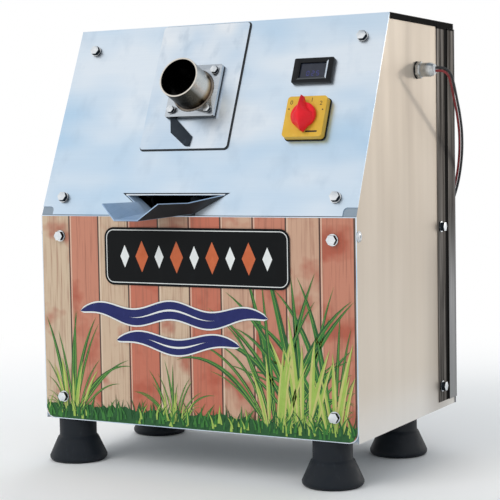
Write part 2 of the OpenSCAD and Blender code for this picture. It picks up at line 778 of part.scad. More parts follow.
// A rubber sheet below the flange, with a tongue to pull it by
module flange_gasket() color([0.15, 0.18, 0.2]) on_slope(feed_x, feed_s)
    translate([0, -plate_t - gasket_t, 0]) plate_xz(gasket_t) difference() {
        union() {
            rounded(tube_flange, tube_flange, tube_flange_r);
            translate([-tube_flange / 2 + tongue_x, -tube_flange / 2]) rotate(tongue_a) polygon([
                [-tongue_neck / 2, tongue_root], [-tongue_neck / 2, 0], [-tongue_left, -tongue_belly],
                [-tongue_tip, tongue_tip - tongue_l], [0, -tongue_l],
                [tongue_right, tongue_slant - tongue_l], [tongue_neck / 2, 0], [tongue_neck / 2, tongue_root]
            ]);
        }
        circle(tube_r + seam);
        flange_holes(flange_bolt_d / 2 + bolt_gap);
    }

module flange_bolts() color("gainsboro") on_slope(feed_x, feed_s)
    for (x = [-1, 1], z = [-1, 1]) translate([x * flange_pitch / 2, 0, z * flange_pitch / 2])
        translate([0, -plate_t - gasket_t - tube_flange_t, 0]) {
            grip = plate_t + gasket_t + tube_flange_t + sheet_t;
            bolt(grip, flange_bolt_d, flange_bolt_af, flange_head_h, flange_washer_r);
            nut(grip, flange_bolt_d, flange_bolt_af);
        }

// Spout and juice tray

fold_r = spout_t / 2 + fold_proud;
rim_z = lower_h + rim_rise;
collar_step = [0, collar_depth, collar_rise];
mouth_left = slope_point(mouth_x0, mouth_s1, 0);
mouth_right = slope_point(mouth_x1, mouth_s1, 0);
floor_left = slope_point(floor_x0, mouth_s0, 0);
floor_right = slope_point(floor_x1, mouth_s0, 0);
lip_left = [lip_x0, -lip_reach, lower_h - lip_drop];
lip_right = [lip_x1, -lip_reach, lower_h - lip_drop];
rim_left = [rim_x0, -rim_reach, rim_z];
shoulder = [shoulder_x, -shoulder_reach, rim_z];

// The left wall's plane decides where its top edge meets the sloped panel
left_normal = cross(lip_left - floor_left, rim_left - floor_left);
up_slope = [0, sin(slope_a), cos(slope_a)];
wall_left = floor_left + (rim_rise / cos(slope_a) - mouth_s0)
    * (up_slope - [(left_normal * up_slope) / left_normal[0], 0, 0]);

// The right wall's plane decides where its front corner lies
right_normal = cross(lip_right - floor_right, shoulder - floor_right);
rim_step = [0, -rim_reach, rim_z] - [0, floor_right[1], floor_right[2]];
rim_right = [floor_x1 - (right_normal * rim_step) / right_normal[0], -rim_reach, rim_z];

// Folded plates, trimmed square at the pouring lip
module outlet_spout() color("slategray") in_cabinet() difference() {
    union() {
        for (corners = [
            [floor_left, floor_right, lip_right, lip_left],
            [floor_left, lip_left, rim_left, wall_left],
            [floor_right, lip_right, rim_right, shoulder],
            [mouth_right, floor_right, shoulder],
            [mouth_left, floor_left, floor_left + collar_step, mouth_left + collar_step],
            [mouth_right, floor_right, floor_right + collar_step, mouth_right + collar_step],
            [floor_left, floor_right, floor_right + collar_step, floor_left + collar_step]
        ]) flat_plate(corners, spout_t);
        for (edge = [
            [floor_left, floor_right], [floor_left, lip_left], [floor_right, lip_right],
            [floor_right, shoulder], [floor_right, mouth_right],
            [floor_left, floor_left + collar_step], [floor_right, floor_right + collar_step]
        ]) fold(edge[0], edge[1], fold_r);
    }
    translate([-half_w, -lip_reach - 2 * fold_r, 0]) cube([cab_w, 2 * fold_r, cab_h]);
}

nose_y = floor_left[1] + collar_depth / 2;
nose_z = floor_left[2] + collar_rise / 2 + fold_r + seam;
tray_a = atan2(tray_rise, tray_y1 - nose_y);

// The tray's outline in its own plane, from the nose; inset moves the sides in and leaves the nose open
module tray_outline(inset) {
    x0 = mill_x0 + tray_gap + inset;
    x1 = mill_x1 - tray_gap - inset;
    neck = (tray_y0 - nose_y) / cos(tray_a);
    rear = (tray_y1 - nose_y) / cos(tray_a) - inset;
    polygon([
        [floor_x0 + nose_gap + inset, -inset], [floor_x1 - nose_gap - inset, -inset],
        [x1, neck], [x1, rear], [x0, rear], [x0, neck]
    ]);
}

module juice_tray() color("silver") in_cabinet() translate([0, nose_y, nose_z]) rotate([tray_a, 0, 0])
    difference() {
        linear_extrude(tray_wall) tray_outline(0);
        translate([0, 0, spout_t]) linear_extrude(tray_wall) tray_outline(spout_t);
    }

module waste_chute() color("silver") {
    start = sqrt(pow(roller_r, 2) - pow(roller_pitch / 2 - chute_drop, 2)) + chute_gap;
    reach = (rear_y - slope_at(feed_s, nip_depth)[0]) / cos(slope_a) + chute_wall;
    width = 2 * mill_half;
    difference() {
        on_slope(feed_x, feed_s) translate([-width / 2, nip_depth + start, -chute_drop - chute_t])
            difference() {
                cube([width, reach, chute_wall + chute_t]);
                translate([chute_t, -over, chute_t])
                    cube([width - 2 * chute_t, reach + 2 * over, chute_wall + over]);
                rotate([45, 0, 0]) translate([-over, 0, 0])
                    cube([width + 2 * over, chute_wall, 2 * chute_wall]);
            }
        in_cabinet() translate([-half_w, rear_y, 0]) cube([cab_w, reach, cab_h]);
    }
}

// Controls

module switch_plate() color("gold") on_slope(control_x, switch_s) difference() {
    translate([0, -switch_t, 0]) plate_xz(switch_t) rounded(switch_w, switch_w, switch_r);
    bar_y(-switch_t - over, over, shaft_r + 2 * knob_gap);
}

module switch_block() color("dimgray") on_slope(control_x, switch_s) difference() {
    translate([0, sheet_t, 0]) plate_xz(block_d) rounded(block_w, block_w, switch_r);
    bar_y(0, sheet_t + shaft_in + over, shaft_r + run_gap);
}

module switch_shaft() color("silver") on_slope(control_x, switch_s)
    bar_y(-switch_t - knob_gap - knob_disc_t, sheet_t + shaft_in, shaft_r);

// A leaf-shaped grip with pointed ends over a round disc
module switch_knob() color("red") on_slope(control_x, switch_s) rotate([0, -knob_turn, 0]) difference() {
    union() {
        translate([0, -switch_t - knob_gap - knob_disc_t, 0]) plate_xz(knob_disc_t) circle(knob_r);
        hull() {
            translate([0, -switch_t - knob_gap - knob_disc_t, 0]) plate_xz(knob_disc_t)
                polygon([[0, grip_l / 2], [-grip_w / 2, 0], [0, -grip_l / 2], [grip_w / 2, 0]]);
            translate([0, -switch_t - knob_gap - knob_disc_t - grip_h, 0]) plate_xz(ridge_t)
                square([ridge_w, grip_l - grip_w], center = true);
        }
    }
    bar_y(-switch_t - knob_gap - knob_disc_t, 0, shaft_r);
}

module meter_case() color([0.1, 0.11, 0.13]) on_slope(control_x + meter_shift, meter_s) difference() {
    union() {
        translate([0, -meter_t, 0]) plate_xz(meter_t) rounded(meter_w, meter_h, meter_r);
        plate_xz(meter_d) square([meter_w - 2 * meter_edge, meter_h - 2 * meter_edge], center = true);
    }
    translate([0, -meter_t - over, 0]) plate_xz(window_d + lens_t + over)
        square([window_w, window_h], center = true);
}

module meter_lens() color([0.3, 0.32, 0.38]) on_slope(control_x + meter_shift, meter_s)
    translate([0, window_d - meter_t, 0]) plate_xz(lens_t) square([window_w, window_h], center = true);

// Mill

module mill_plate(x) color("silver") in_cabinet() difference() {
    plate_yz(x, mill_t) polygon(mill_outline);
    for (yz = [lower_yz, upper_yz]) at_yz(yz) bar_x(x - over, x + mill_t + over, bush_r);
    for (yz = tie_yz) at_yz(yz) bar_x(x - over, x + mill_t + over, tie_end_r);
    if (x > feed_x) for (yz = standoff_yz) at_yz(yz) bar_x(x - over, x + mill_t + over, standoff_end_r);
}

module mill_plate_left() mill_plate(mill_x0 - mill_t);

module mill_plate_right() mill_plate(mill_x1);

module mill_bolt_places() for (side = [-1, 1], y = [-1, 1])
    translate([feed_x + side * (mill_half + mill_t + angle_leg / 2 + angle_t / 2),
        (mill_y0 + mill_y1) / 2 + y * angle_l / 3, 0]) children();

module mill_angles() color("silver") in_cabinet() difference() {
    for (side = [0, 1]) translate([feed_x, (mill_y0 + mill_y1 - angle_l) / 2, pan_t]) mirror([side, 0, 0])
        translate([mill_half + mill_t, 0, 0]) {
            cube([angle_leg, angle_l, angle_t]);
            cube([angle_t, angle_l, angle_leg]);
        }
    mill_bolt_places() cylinder(r = bolt_hole_r, h = pan_t + angle_t + over);
}

module mill_bolts() color("gainsboro") in_cabinet() mill_bolt_places()
    translate([0, 0, pan_t + angle_t]) rotate([-90, 0, 0]) panel_bolt(pan_t + angle_t);

module tie_bars() color("silver") in_cabinet() for (yz = tie_yz) at_yz(yz) {
    bar_x(mill_x0, mill_x1, tie_r);
    bar_x(mill_x0 - mill_t - nut_h - bolt_end, mill_x1 + mill_t + nut_h + bolt_end, tie_end_r);
}

module tie_nuts() color("gainsboro") in_cabinet()
    for (yz = tie_yz, x = [mill_x0 - mill_t - nut_h, mill_x1 + mill_t]) at_yz(yz) difference() {
        hex_x(x, x + nut_h, tie_nut_af);
        bar_x(x - over, x + nut_h + over, tie_end_r + thread_gap);
    }

// A flanged bush whose flange lies inside the plate; side is -1 at the left and 1 at the right
module bush(yz, side) color("goldenrod") in_cabinet() translate([feed_x, yz[0], yz[1]])
    mirror([side < 0 ? 1 : 0, 0, 0]) difference() {
        union() {
            bar_x(mill_half, mill_half + mill_t, bush_r);
            bar_x(mill_half - bush_flange_t, mill_half, bush_flange_r);
        }
        bar_x(mill_half - bush_flange_t - over, mill_half + mill_t + over, journal_r + run_gap);
    }

module lower_bush_left() bush(lower_yz, -1);

module lower_bush_right() bush(lower_yz, 1);

module upper_bush_left() bush(upper_yz, -1);

module upper_bush_right() bush(upper_yz, 1);

// A grooved roller on its shaft; turn sets the grooves in step with the other roller
module roller(yz, turn) color("silver") in_cabinet() at_yz(yz) {
    difference() {
        bar_x(feed_x - roller_l / 2, feed_x + roller_l / 2, roller_r);
        for (i = [0 : groove_n - 1]) rotate([turn + i * 360 / groove_n, 0, 0])
            translate([feed_x - roller_l / 2 - over, roller_r - groove_d, -groove_w / 2])
                cube([roller_l + 2 * over, 2 * groove_d, groove_w]);
    }
    bar_x(mill_x0 - mill_t - left_end, gear_x + gear_w + shaft_end, journal_r);
}

module lower_roller() roller(lower_yz, 90 - slope_a);

module upper_roller() roller(upper_yz, 270 - slope_a);

// Involute teeth; the depths are in modules from the pitch circle

tooth_root = 1.25;
tooth_foot = 0.9;
tooth_mid = 0.3;
tooth_tip = 0.95;

function involute(a) = tan(a) - a * PI / 180;
function tooth_half(z, r) = let (
    base_r = gear_m * z / 2 * cos(pressure_a),
    a = acos(base_r / max(r, base_r))
) (PI / (2 * z) - backlash / (gear_m * z) + involute(pressure_a) - involute(a)) * 180 / PI;

function tooth_radii(z) = let (
    pitch_r = gear_m * z / 2,
    base_r = pitch_r * cos(pressure_a)
) [
    pitch_r - tooth_root * gear_m, max(base_r, pitch_r - tooth_foot * gear_m),
    pitch_r - tooth_mid * gear_m, pitch_r + tooth_mid * gear_m, pitch_r + tooth_tip * gear_m
];

module gear_outline(z) {
    radii = tooth_radii(z);
    last = len(radii) - 1;
    polygon([
        for (i = [0 : z - 1], side = [-1, 1], k = [0 : last])
            let (r = radii[side < 0 ? k : last - k], a = i * 360 / z + side * tooth_half(z, r))
            [r * cos(a), r * sin(a)]
    ]);
}

// A gear on a shaft along X, with a tooth at the given turn
module gear(yz, z, turn, bore_r) color("darkgray") in_cabinet() at_yz(yz) difference() {
    plate_yz(gear_x, gear_w) rotate(turn) gear_outline(z);
    bar_x(gear_x - over, gear_x + gear_w + over, bore_r);
}

module lower_roller_gear() gear(lower_yz, roller_teeth, 90 - slope_a, journal_r);

module upper_roller_gear() gear(upper_yz, roller_teeth, 270 - slope_a + 180 / roller_teeth, journal_r);

module drive_pinion() gear(pinion_yz, pinion_teeth, 180 + pinion_a - slope_a + 180 / pinion_teeth, output_r);

module output_shaft() color("silver") in_cabinet() at_yz(pinion_yz)
    bar_x(gear_x - shaft_end / 2, motor_x, output_r);

module gearbox() color("lightslategray") in_cabinet() difference() {
    union() {
        at_yz(pinion_yz) bar_x(gearbox_x, gearbox_x + gearbox_w, gearbox_r);
        at_yz(pinion_yz) translate([motor_x - worm_w / 2, worm_y - worm_w / 2, -gearbox_drop])
            cube([worm_w, worm_w, gearbox_drop + gearbox_r]);
    }
    at_yz(pinion_yz) bar_x(gearbox_x - over, motor_x + over, output_r + run_gap);
    for (yz = standoff_yz) at_yz(yz) bar_x(gearbox_x - over, gearbox_x + standoff_in, standoff_end_r);
}

module gearbox_standoffs() color("silver") in_cabinet() for (yz = standoff_yz) at_yz(yz) {
    bar_x(mill_x1 + mill_t, gearbox_x, standoff_r);
    bar_x(mill_x1, gearbox_x + standoff_in, standoff_end_r);
}

// The motor hangs from the worm housing, with a mounting ring and a stepped tail
module motor() color([0.2, 0.22, 0.25]) in_cabinet()
    at_yz(pinion_yz) translate([motor_x, worm_y, -gearbox_drop]) rotate([180, 0, 0])
        rotate_extrude() polygon([
            [0, 0], [motor_r, 0], [motor_r, motor_ring_h], [motor_r - motor_step, motor_ring_h],
            [motor_r - motor_step, motor_l - motor_cap_l], [motor_r, motor_l - motor_cap_l],
            [motor_r, motor_l - motor_cap_r], [motor_r - motor_cap_r, motor_l], [0, motor_l]
        ]);

// Cable gland and wires

module at_gland() in_cabinet() translate([0, gland_y, gland_z]) children();

module gland_body() color("silver") at_gland() {
    hex_x(half_w, half_w + gland_hex_l, gland_af);
    bar_x(inner_x - locknut_t - over, half_w + gland_hex_l / 2, gland_r);
}

module gland_dome_nut() color("silver") at_gland() translate([half_w + gland_hex_l, 0, 0]) rotate([0, 90, 0])
    rotate_extrude() polygon([
        [0, 0], [dome_r, 0], [dome_r, dome_l - dome_taper], [nose_r, dome_l], [0, dome_l]
    ]);

module gland_locknut() color("silver") at_gland() difference() {
    hex_x(inner_x - locknut_t, inner_x, gland_af);
    bar_x(inner_x - locknut_t - over, inner_x + over, gland_r + thread_gap);
}

gland_exit = [half_w + gland_hex_l + dome_l, gland_y - row_y, foot_h + gland_z];
wire_span = cab_d - gland_y;
wire_drop = gland_exit[2] - barrel_r;
// The wires' middle line out of the gland, back, down and along the floor: distance to the right of
// the gland's end, share of the way back to the rear, and share of the gland's height
wire_line = [
    [6.5, 0.006, 1], [11.4, 0.035, 0.996], [13.4, 0.097, 0.986], [12, 0.202, 0.965],
    [8.5, 0.36, 0.932], [3.5, 0.57, 0.888], [-3.5, 0.794, 0.836], [-12.5, 0.987, 0.773],
    [-23.5, 1.118, 0.702], [-37.5, 1.158, 0.62], [-50, 1.184, 0.533], [-62, 1.202, 0.431],
    [-74, 1.219, 0.329], [-84, 1.228, 0.222], [-93, 1.237, 0.129], [-100, 1.254, 0.062],
    [-113, 1.281, 0.015], [-131, 1.307, 0], [-151, 1.325, 0], [-171, 1.325, 0], [-189, 1.316, 0],
    [-207, 1.298, 0]
];
wire_route = [
    for (p = wire_line)
        [gland_exit[0] + p[0], gland_exit[1] + p[1] * wire_span, barrel_r + p[2] * wire_drop]
];
// How far the wires part at their ends
wire_spread = [0, 0, 0, 0, 0, 0, 0, 0, 0, 0, 0, 0, 0, 0, 0, 0, 0, 0, 0, 0.5, 1.8, 3.4];
// How far the pair leans from upright to level, and turns from side by side to front and rear
wire_lean = [0, 30, 60, 90, 90, 90, 90, 90, 90, 90, 90, 90, 90, 90, 90, 90, 90, 90, 90, 90, 90, 90];
wire_turn = [0, 0, 0, 0, 0, 0, 0, 0, 0, 0, 30, 60, 90, 90, 90, 90, 90, 90, 90, 90, 90, 90];
// Which way the black wire lies from the red one at each of those points
wire_side = [
    for (i = [0 : len(wire_route) - 1])
        let (lean = wire_lean[i], turn = wire_turn[i])
            [sin(lean) * cos(turn), (1 + wire_spread[i]) * sin(turn), cos(lean)]
];
wire_steps = 2;
wire_sides = 8;

// Points of one wire; hand is -1 for the red and 1 for the black
function wire_points(hand) = let (shift = hand * wire_pitch / 2) concat(
    [gland_exit + shift * [0, 0, 1]],
    [for (i = [0 : len(wire_route) - 1]) wire_route[i] + shift * wire_side[i]]
);

// A smooth curve through the points
function smooth_at(p, i, t) = let (
    a = p[max(i - 1, 0)], b = p[i], c = p[i + 1], d = p[min(i + 2, len(p) - 1)]
) 0.5 * (2 * b + (c - a) * t + (2 * a - 5 * b + 4 * c - d) * t * t + (3 * b - a - 3 * c + d) * t * t * t);
function smooth(p) = concat(
    [for (i = [0 : len(p) - 2], k = [0 : wire_steps - 1]) smooth_at(p, i, k / wire_steps)],
    [p[len(p) - 1]]
);
function path_way(p, i) = unit(p[min(i + 1, len(p) - 1)] - p[max(i - 1, 0)]);

// A ring's first direction, carried along the path so that the tube doesn't twist
function carried(p, i, v) = let (w = path_way(p, i), n = unit(v - (v * w) * w))
    i == len(p) - 1 ? [n] : concat([n], carried(p, i + 1, n));

module tube(points, r, first_way) {
    p = smooth(points);
    n = len(p);
    ups = carried(p, 0, [0, 1, 0]);
    ways = [for (i = [0 : n - 1]) i == 0 ? first_way : path_way(p, i)];
    rings = [
        for (i = [0 : n - 1], k = [0 : wire_sides - 1])
            let (a = k * 360 / wire_sides, u = unit(ups[i] - (ups[i] * ways[i]) * ways[i]))
            p[i] + r * (cos(a) * u + sin(a) * cross(ways[i], u))
    ];
    sides = [
        for (i = [0 : n - 2], k = [0 : wire_sides - 1]) let (
            a = i * wire_sides + k, b = i * wire_sides + (k + 1) % wire_sides,
            c = a + wire_sides, d = b + wire_sides
        ) each [[d, b, a], [c, d, a]]
    ];
    start = [for (k = [0 : wire_sides - 1]) k];
    end = [for (k = [wire_sides - 1 : -1 : 0]) (n - 1) * wire_sides + k];
    polyhedron(rings, concat(sides, [start, end]), convexity = 10);
}

module red_wire() color("firebrick") tube(wire_points(-1), wire_d / 2, [1, 0, 0]);

module black_wire() color([0.08, 0.08, 0.09]) tube(wire_points(1), wire_d / 2, [1, 0, 0]);

// A ring terminal that lies on the floor at the end of a wire
module terminal(hand) {
    p = wire_points(hand);
    n = len(p);
    way = unit(p[n - 1] - p[n - 2]);
    translate(p[n - 1]) rotate([0, 0, atan2(way[1], way[0])]) {
        bar_x(0, barrel_l, barrel_r);
        translate([0, 0, -p[n - 1][2]]) linear_extrude(ring_t) difference() {
            union() {
                translate([barrel_l + ring_r - 1, 0]) circle(ring_r);
                translate([barrel_l / 2, -barrel_r]) square([barrel_l / 2 + 2, 2 * barrel_r]);
            }
            translate([barrel_l + ring_r - 1, 0]) circle(ring_hole_r);
        }
    }
}

module red_terminal() color("silver") terminal(-1);

module black_terminal() color("silver") terminal(1);

base_pan();
side_panel_left();
side_panel_right();
front_panel();
front_print();
sloped_panel();
top_rear_cover();
foot_front_left();
foot_front_right();
foot_rear_left();
foot_rear_right();
foot_bolts();
front_bolts();
slope_bolts();
cover_bolts();
feed_plate();
feed_tube();
flange_gasket();
flange_bolts();
outlet_spout();
juice_tray();
waste_chute();
switch_plate();
switch_block();
switch_shaft();
switch_knob();
meter_case();
meter_lens();
mill_plate_left();
mill_plate_right();
mill_angles();
mill_bolts();
tie_bars();
tie_nuts();
lower_bush_left();
lower_bush_right();
upper_bush_left();
upper_bush_right();
lower_roller();
upper_roller();
lower_roller_gear();
upper_roller_gear();
drive_pinion();
output_shaft();
gearbox();
gearbox_standoffs();
motor();
gland_body();
gland_dome_nut();
gland_locknut();
red_wire();
black_wire();
red_terminal();
black_terminal();
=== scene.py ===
"""Looks of a cabinet sugarcane juicer: finishes, printed front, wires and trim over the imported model."""

import logging
import math
import random
from dataclasses import dataclass, field, replace
from enum import Enum

import bpy
from mathutils import Matrix, Vector


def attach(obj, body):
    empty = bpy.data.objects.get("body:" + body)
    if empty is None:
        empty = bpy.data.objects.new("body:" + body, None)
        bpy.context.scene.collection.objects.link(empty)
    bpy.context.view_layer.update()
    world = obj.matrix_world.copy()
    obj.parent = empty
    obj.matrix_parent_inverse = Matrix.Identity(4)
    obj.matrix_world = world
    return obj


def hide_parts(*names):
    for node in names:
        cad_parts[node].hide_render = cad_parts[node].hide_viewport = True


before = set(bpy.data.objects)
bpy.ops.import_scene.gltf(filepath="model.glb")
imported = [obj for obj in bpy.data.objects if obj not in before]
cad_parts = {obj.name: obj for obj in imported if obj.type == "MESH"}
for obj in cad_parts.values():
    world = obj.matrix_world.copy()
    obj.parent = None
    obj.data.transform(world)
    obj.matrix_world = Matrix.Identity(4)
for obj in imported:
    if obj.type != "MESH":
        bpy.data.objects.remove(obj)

MM = 0.001
LOG = logging.getLogger("juicer")

Pair = tuple[float, float]
Point = tuple[float, float, float]
Colour = tuple[float, float, float, float]
Profile = tuple[Pair, ...]
Stops = tuple[tuple[float, str], ...]
Tree = bpy.types.NodeTree
Node = bpy.types.Node
Source = bpy.types.Node | bpy.types.NodeSocket

WHITE = "#FFFFFF"
# Where most of a noise pattern's strength lies
MID_NOISE: Pair = (0.3, 0.7)
# Corners of a rectangle, counter-clockwise
CORNERS = ((-1, -1), (1, -1), (1, 1), (-1, 1))
# Ways to the right and down on a flat print
RIGHT = Vector((1, 0))
DOWN = Vector((0, -1))
# A place on a printed strip's spine, the way to its side and half the strip's width there
Rib = tuple[Vector, Vector, float]


class Body(Enum):
    """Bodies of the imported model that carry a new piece."""

    CABINET = "cabinet"
    KNOB = "knob"


class Slot(Enum):
    """Material slots of the record."""

    VINYL = "printed_vinyl"
    TUBE = "stainless_tube"
    BLACK = "black_plastic"
    RED = "red_plastic"
    LENS = "smoked_lens"
    GASKET = "gasket_rubber"
    SPOUT = "spout_steel"
    RED_PVC = "red_pvc"
    BLACK_PVC = "black_pvc"
    FASTENER = "zinc_fasteners"


class Ends(Enum):
    """How a run of lines is closed when it becomes a surface."""

    JOINED = "rings, the last one joined to the first"
    CAPPED = "rings, with a face over the first and the last"
    OPEN = "rings, without end faces"
    SHEET = "lines that aren't rings"


def linear(code: str) -> Colour:
    """Turns an sRGB hex colour to linear light.

    Args:
        code: The colour as "#RRGGBB".

    Returns:
        Red, green, blue and an alpha of one, in linear light.
    """
    parts = [int(code[i:i + 2], 16) / 255 for i in (1, 3, 5)]
    red, green, blue = (p / 12.92 if p <= 0.04045 else ((p + 0.055) / 1.055) ** 2.4 for p in parts)
    return red, green, blue, 1.0


def even(size: float) -> Point:
    """The same size along each axis."""
    return size, size, size


@dataclass(frozen=True)
class Level:
    """A value that follows a pattern, by the pattern's limits and the values there, straight or smoothly."""

    pattern: Source
    limits: Pair = (0.0, 1.0)
    values: Pair = (0.0, 1.0)
    smooth: bool = False


def set_inputs(tree: Tree, node: Node, inputs: dict) -> None:
    """Sets a node's inputs: numbers as they are, hex colours in linear light, and the rest by links.

    Args:
        tree: The node tree that holds the node.
        node: The node.
        inputs: What each input gets, by its name or place: a value, a node, a socket or a level.
    """
    for key, value in inputs.items():
        if isinstance(value, Level):
            ends = zip(("From Min", "From Max", "To Min", "To Max"), (*value.limits, *value.values))
            scale = {"Value": value.pattern, **dict(ends)}
            bend = "SMOOTHSTEP" if value.smooth else "LINEAR"
            value = add_node(tree, "MapRange", scale, interpolation_type=bend)
        if isinstance(value, Node):
            value = next(output for output in value.outputs if output.enabled)
        if isinstance(value, bpy.types.NodeSocket):
            tree.links.new(value, node.inputs[key])
        else:
            node.inputs[key].default_value = linear(value) if isinstance(value, str) else value


def add_node(tree: Tree, kind: str, inputs: dict | None = None, stops: Stops = (), **settings: str) -> Node:
    """Adds one node with its settings and links.

    Args:
        tree: The node tree that takes the node.
        kind: Blender's name for the node, without the words that all of them start with.
        inputs: What its inputs get, as set_inputs takes it.
        stops: Places and colours of a colour ramp.
        **settings: Values of the node's own properties.

    Returns:
        The new node.
    """
    node = tree.nodes.new(f"ShaderNode{kind}")
    for key, value in settings.items():
        setattr(node, key, value)
    set_inputs(tree, node, inputs or {})
    for i, (place, colour) in enumerate(stops):
        ramp = node.color_ramp.elements
        stop = ramp[i] if i < 2 else ramp.new(place)
        stop.position = place
        stop.color = linear(colour)
    return node


def seen_rays(tree: Tree) -> Source:
    """Tells rays that show a background, straight or in metal and glass, from those that light the object.

    Args:
        tree: The node tree that takes the nodes.

    Returns:
        One for rays that show the background and zero for the others.
    """
    rays = add_node(tree, "LightPath").outputs
    seen = rays["Is Camera Ray"]
    for kind in ("Is Glossy Ray", "Is Transmission Ray"):
        seen = add_node(tree, "Math", {0: seen, 1: rays[kind]}, operation="MAXIMUM")
    return seen


@dataclass(frozen=True)
class Surface:
    """Nodes of one material, which a finish sets; the place is the point on the object, in metres."""

    tree: Tree
    shader: Node
    output: Node
    place: Source

    def patterns(self, **sizes: tuple[Point, float]) -> dict[str, Node]:
        """Adds cloudy patterns of real sizes.

        Args:
            **sizes: For each pattern, its size in millimetres along X, Y and Z, and its detail.

        Returns:
            The noise of each pattern, from zero to one, by its name.
        """
        found = {}
        for name, (size, detail) in sizes.items():
            repeats = tuple(1 / (length * MM) for length in size)
            scaled = add_node(self.tree, "VectorMath", {0: self.place, 1: repeats}, operation="MULTIPLY")
            found[name] = add_node(self.tree, "TexNoise", {"Vector": scaled, "Scale": 1.0, "Detail": detail})
        return found

    def layered(self, colour: str | Source, overs: list[tuple[Level | Source, str]]) -> Source:
        """Lays colours over one another.

        Args:
            colour: The lowest colour.
            overs: For each colour above it, how much of it shows, and the colour.

        Returns:
            The colour that is seen.
        """
        for share, over in overs:
            colour = add_node(self.tree, "Mix", {0: share, 6: colour, 7: over}, data_type="RGBA")
        return colour

    def cover(self, colour: Source, rough: Level, relief: Node, strength: float = 0.1,
              depth_mm: float = 0.1) -> None:
        """Sets the shader's colour, roughness and relief.

        Args:
            colour: The colour.
            rough: The roughness.
            relief: The pattern that stands out.
            strength: How strongly it does.
            depth_mm: The relief's depth.
        """
        lift = {"Strength": strength, "Distance": depth_mm * MM, "Height": relief}
        bump = add_node(self.tree, "Bump", lift)
        set_inputs(self.tree, self.shader, {"Base Color": colour, "Roughness": rough, "Normal": bump})

    def facing(self, way: Point) -> Node:
        """How far each face is turned to a direction, from minus one to one."""
        normal = add_node(self.tree, "NewGeometry").outputs["Normal"]
        return add_node(self.tree, "VectorMath", {0: normal, 1: way}, operation="DOT_PRODUCT")


@dataclass(frozen=True)
class Turned:
    """A second colour, painted light and shade, for faces that are turned away from one direction."""

    way: Point
    colour: str
    limit: float = 0.5
    soft: float = 0.12
    both: bool = True

    def share(self, surface: Surface) -> Level:
        """Finds the faces that are turned away.

        Args:
            surface: The material's nodes.

        Returns:
            One on those faces and zero on the others.
        """
        level = surface.facing(self.way)
        if self.both:
            level = add_node(surface.tree, "Math", {0: level}, operation="ABSOLUTE")
        return Level(level, (self.limit - self.soft, self.limit + self.soft), (1.0, 0.0))


@dataclass(frozen=True)
class Band:
    """A box of the sheet in another tone, in millimetres along Y and Z, and how soft its edges are; on the
    side and the cover several bands are painted light and shade.
    """

    low: Pair
    high: Pair
    colour: str
    strength: float = 0.9
    soft: Pair = (0.3, 0.3)

    def share(self, surface: Surface) -> Node:
        """Finds the points inside the band.

        Args:
            surface: The material's nodes.

        Returns:
            The band's strength inside it and zero outside.
        """
        tree = surface.tree
        middle = [(low + high) / 2 * MM for low, high in zip(self.low, self.high)]
        half = [(high - low) / 2 * MM for low, high in zip(self.low, self.high)]
        offset = add_node(tree, "VectorMath", {0: surface.place, 1: (0.0, *middle)}, operation="SUBTRACT")
        away = add_node(tree, "VectorMath", {0: offset}, operation="ABSOLUTE")
        past = add_node(tree, "VectorMath", {0: away, 1: (0.0, *half)}, operation="SUBTRACT")
        axes = add_node(tree, "SeparateXYZ", {0: past}).outputs
        inside = {k: Level(axes[k + 1], (-soft * MM, soft * MM), (most, 0.0), smooth=True)
                  for k, (soft, most) in enumerate(zip(self.soft, (self.strength, 1.0)))}
        return add_node(tree, "Math", inside, operation="MULTIPLY")


@dataclass(frozen=True)
class Finish:
    """A surface made of one real material."""

    name: str

    def material(self) -> bpy.types.Material:
        """Gives the finish's material, which is made once.

        Returns:
            The material.
        """
        found = bpy.data.materials.get(self.name)
        if found:
            return found
        made = bpy.data.materials.new(self.name)
        made.use_nodes = True
        tree = made.node_tree
        tree.nodes.clear()
        shader = add_node(tree, "BsdfPrincipled")
        output = add_node(tree, "OutputMaterial", {"Surface": shader})
        self.dress(Surface(tree, shader, output, add_node(tree, "TexCoord").outputs["Object"]))
        return made

    def dress(self, surface: Surface) -> None:
        """Sets the material's nodes; each kind of finish has its own way.

        Args:
            surface: The material's nodes.
        """
        raise NotImplementedError


@dataclass(frozen=True)
class SheetMetal(Finish):
    """Rolled or brushed metal sheet: clouds in its colour, lines along the rolling and a few stains; on the
    bright sheets the clouds are a painted reflection.

    Real rolling lines are too fine to show in the render, so they are drawn as coarse as they need to be.
    """

    colour: str
    cloud: str
    stain: str
    rough: Pair = (0.26, 0.42)
    grain_mm: Point = (60.0, 60.0, 0.9)
    cloud_mm: Point = even(110.0)
    cloud_span: Pair = (0.36, 0.66)
    cloud_share: float = 0.8
    stain_mm: Point = (14.0, 14.0, 30.0)
    stain_span: Pair = (0.55, 0.8)
    stain_share: float = 0.4
    line_span: Pair = (0.35, 0.75)
    line_share: float = 0.12
    grain: float = 0.12
    metallic: float = 1.0
    edge: str = WHITE
    turned: Turned | None = None
    bands: tuple[Band, ...] = ()

    def dress(self, surface: Surface) -> None:
        """Lays clouds, stains and rolling lines over the sheet's colour, then its bands and facing tones,
        which on most sheets are painted light and shade.

        Args:
            surface: The material's nodes.
        """
        noise = surface.patterns(grain=(self.grain_mm, 3.0), cloud=(self.cloud_mm, 2.0),
                                 stain=(self.stain_mm, 6.0))
        overs = [(Level(noise["cloud"], self.cloud_span, (0.0, self.cloud_share)), self.cloud),
                 (Level(noise["stain"], self.stain_span, (0.0, self.stain_share)), self.stain),
                 (Level(noise["grain"], self.line_span, (0.0, self.line_share)), self.stain)]
        # Bands and facing tones: painted light and shade on most sheets, as set out at each sheet
        overs += [(tone.share(surface), tone.colour) for tone in (*self.bands, self.turned) if tone]
        set_inputs(surface.tree, surface.shader, {"Metallic": self.metallic, "Specular Tint": self.edge})
        rough = Level(noise["grain"], MID_NOISE, self.rough)
        surface.cover(surface.layered(self.colour, overs), rough, noise["grain"], self.grain)


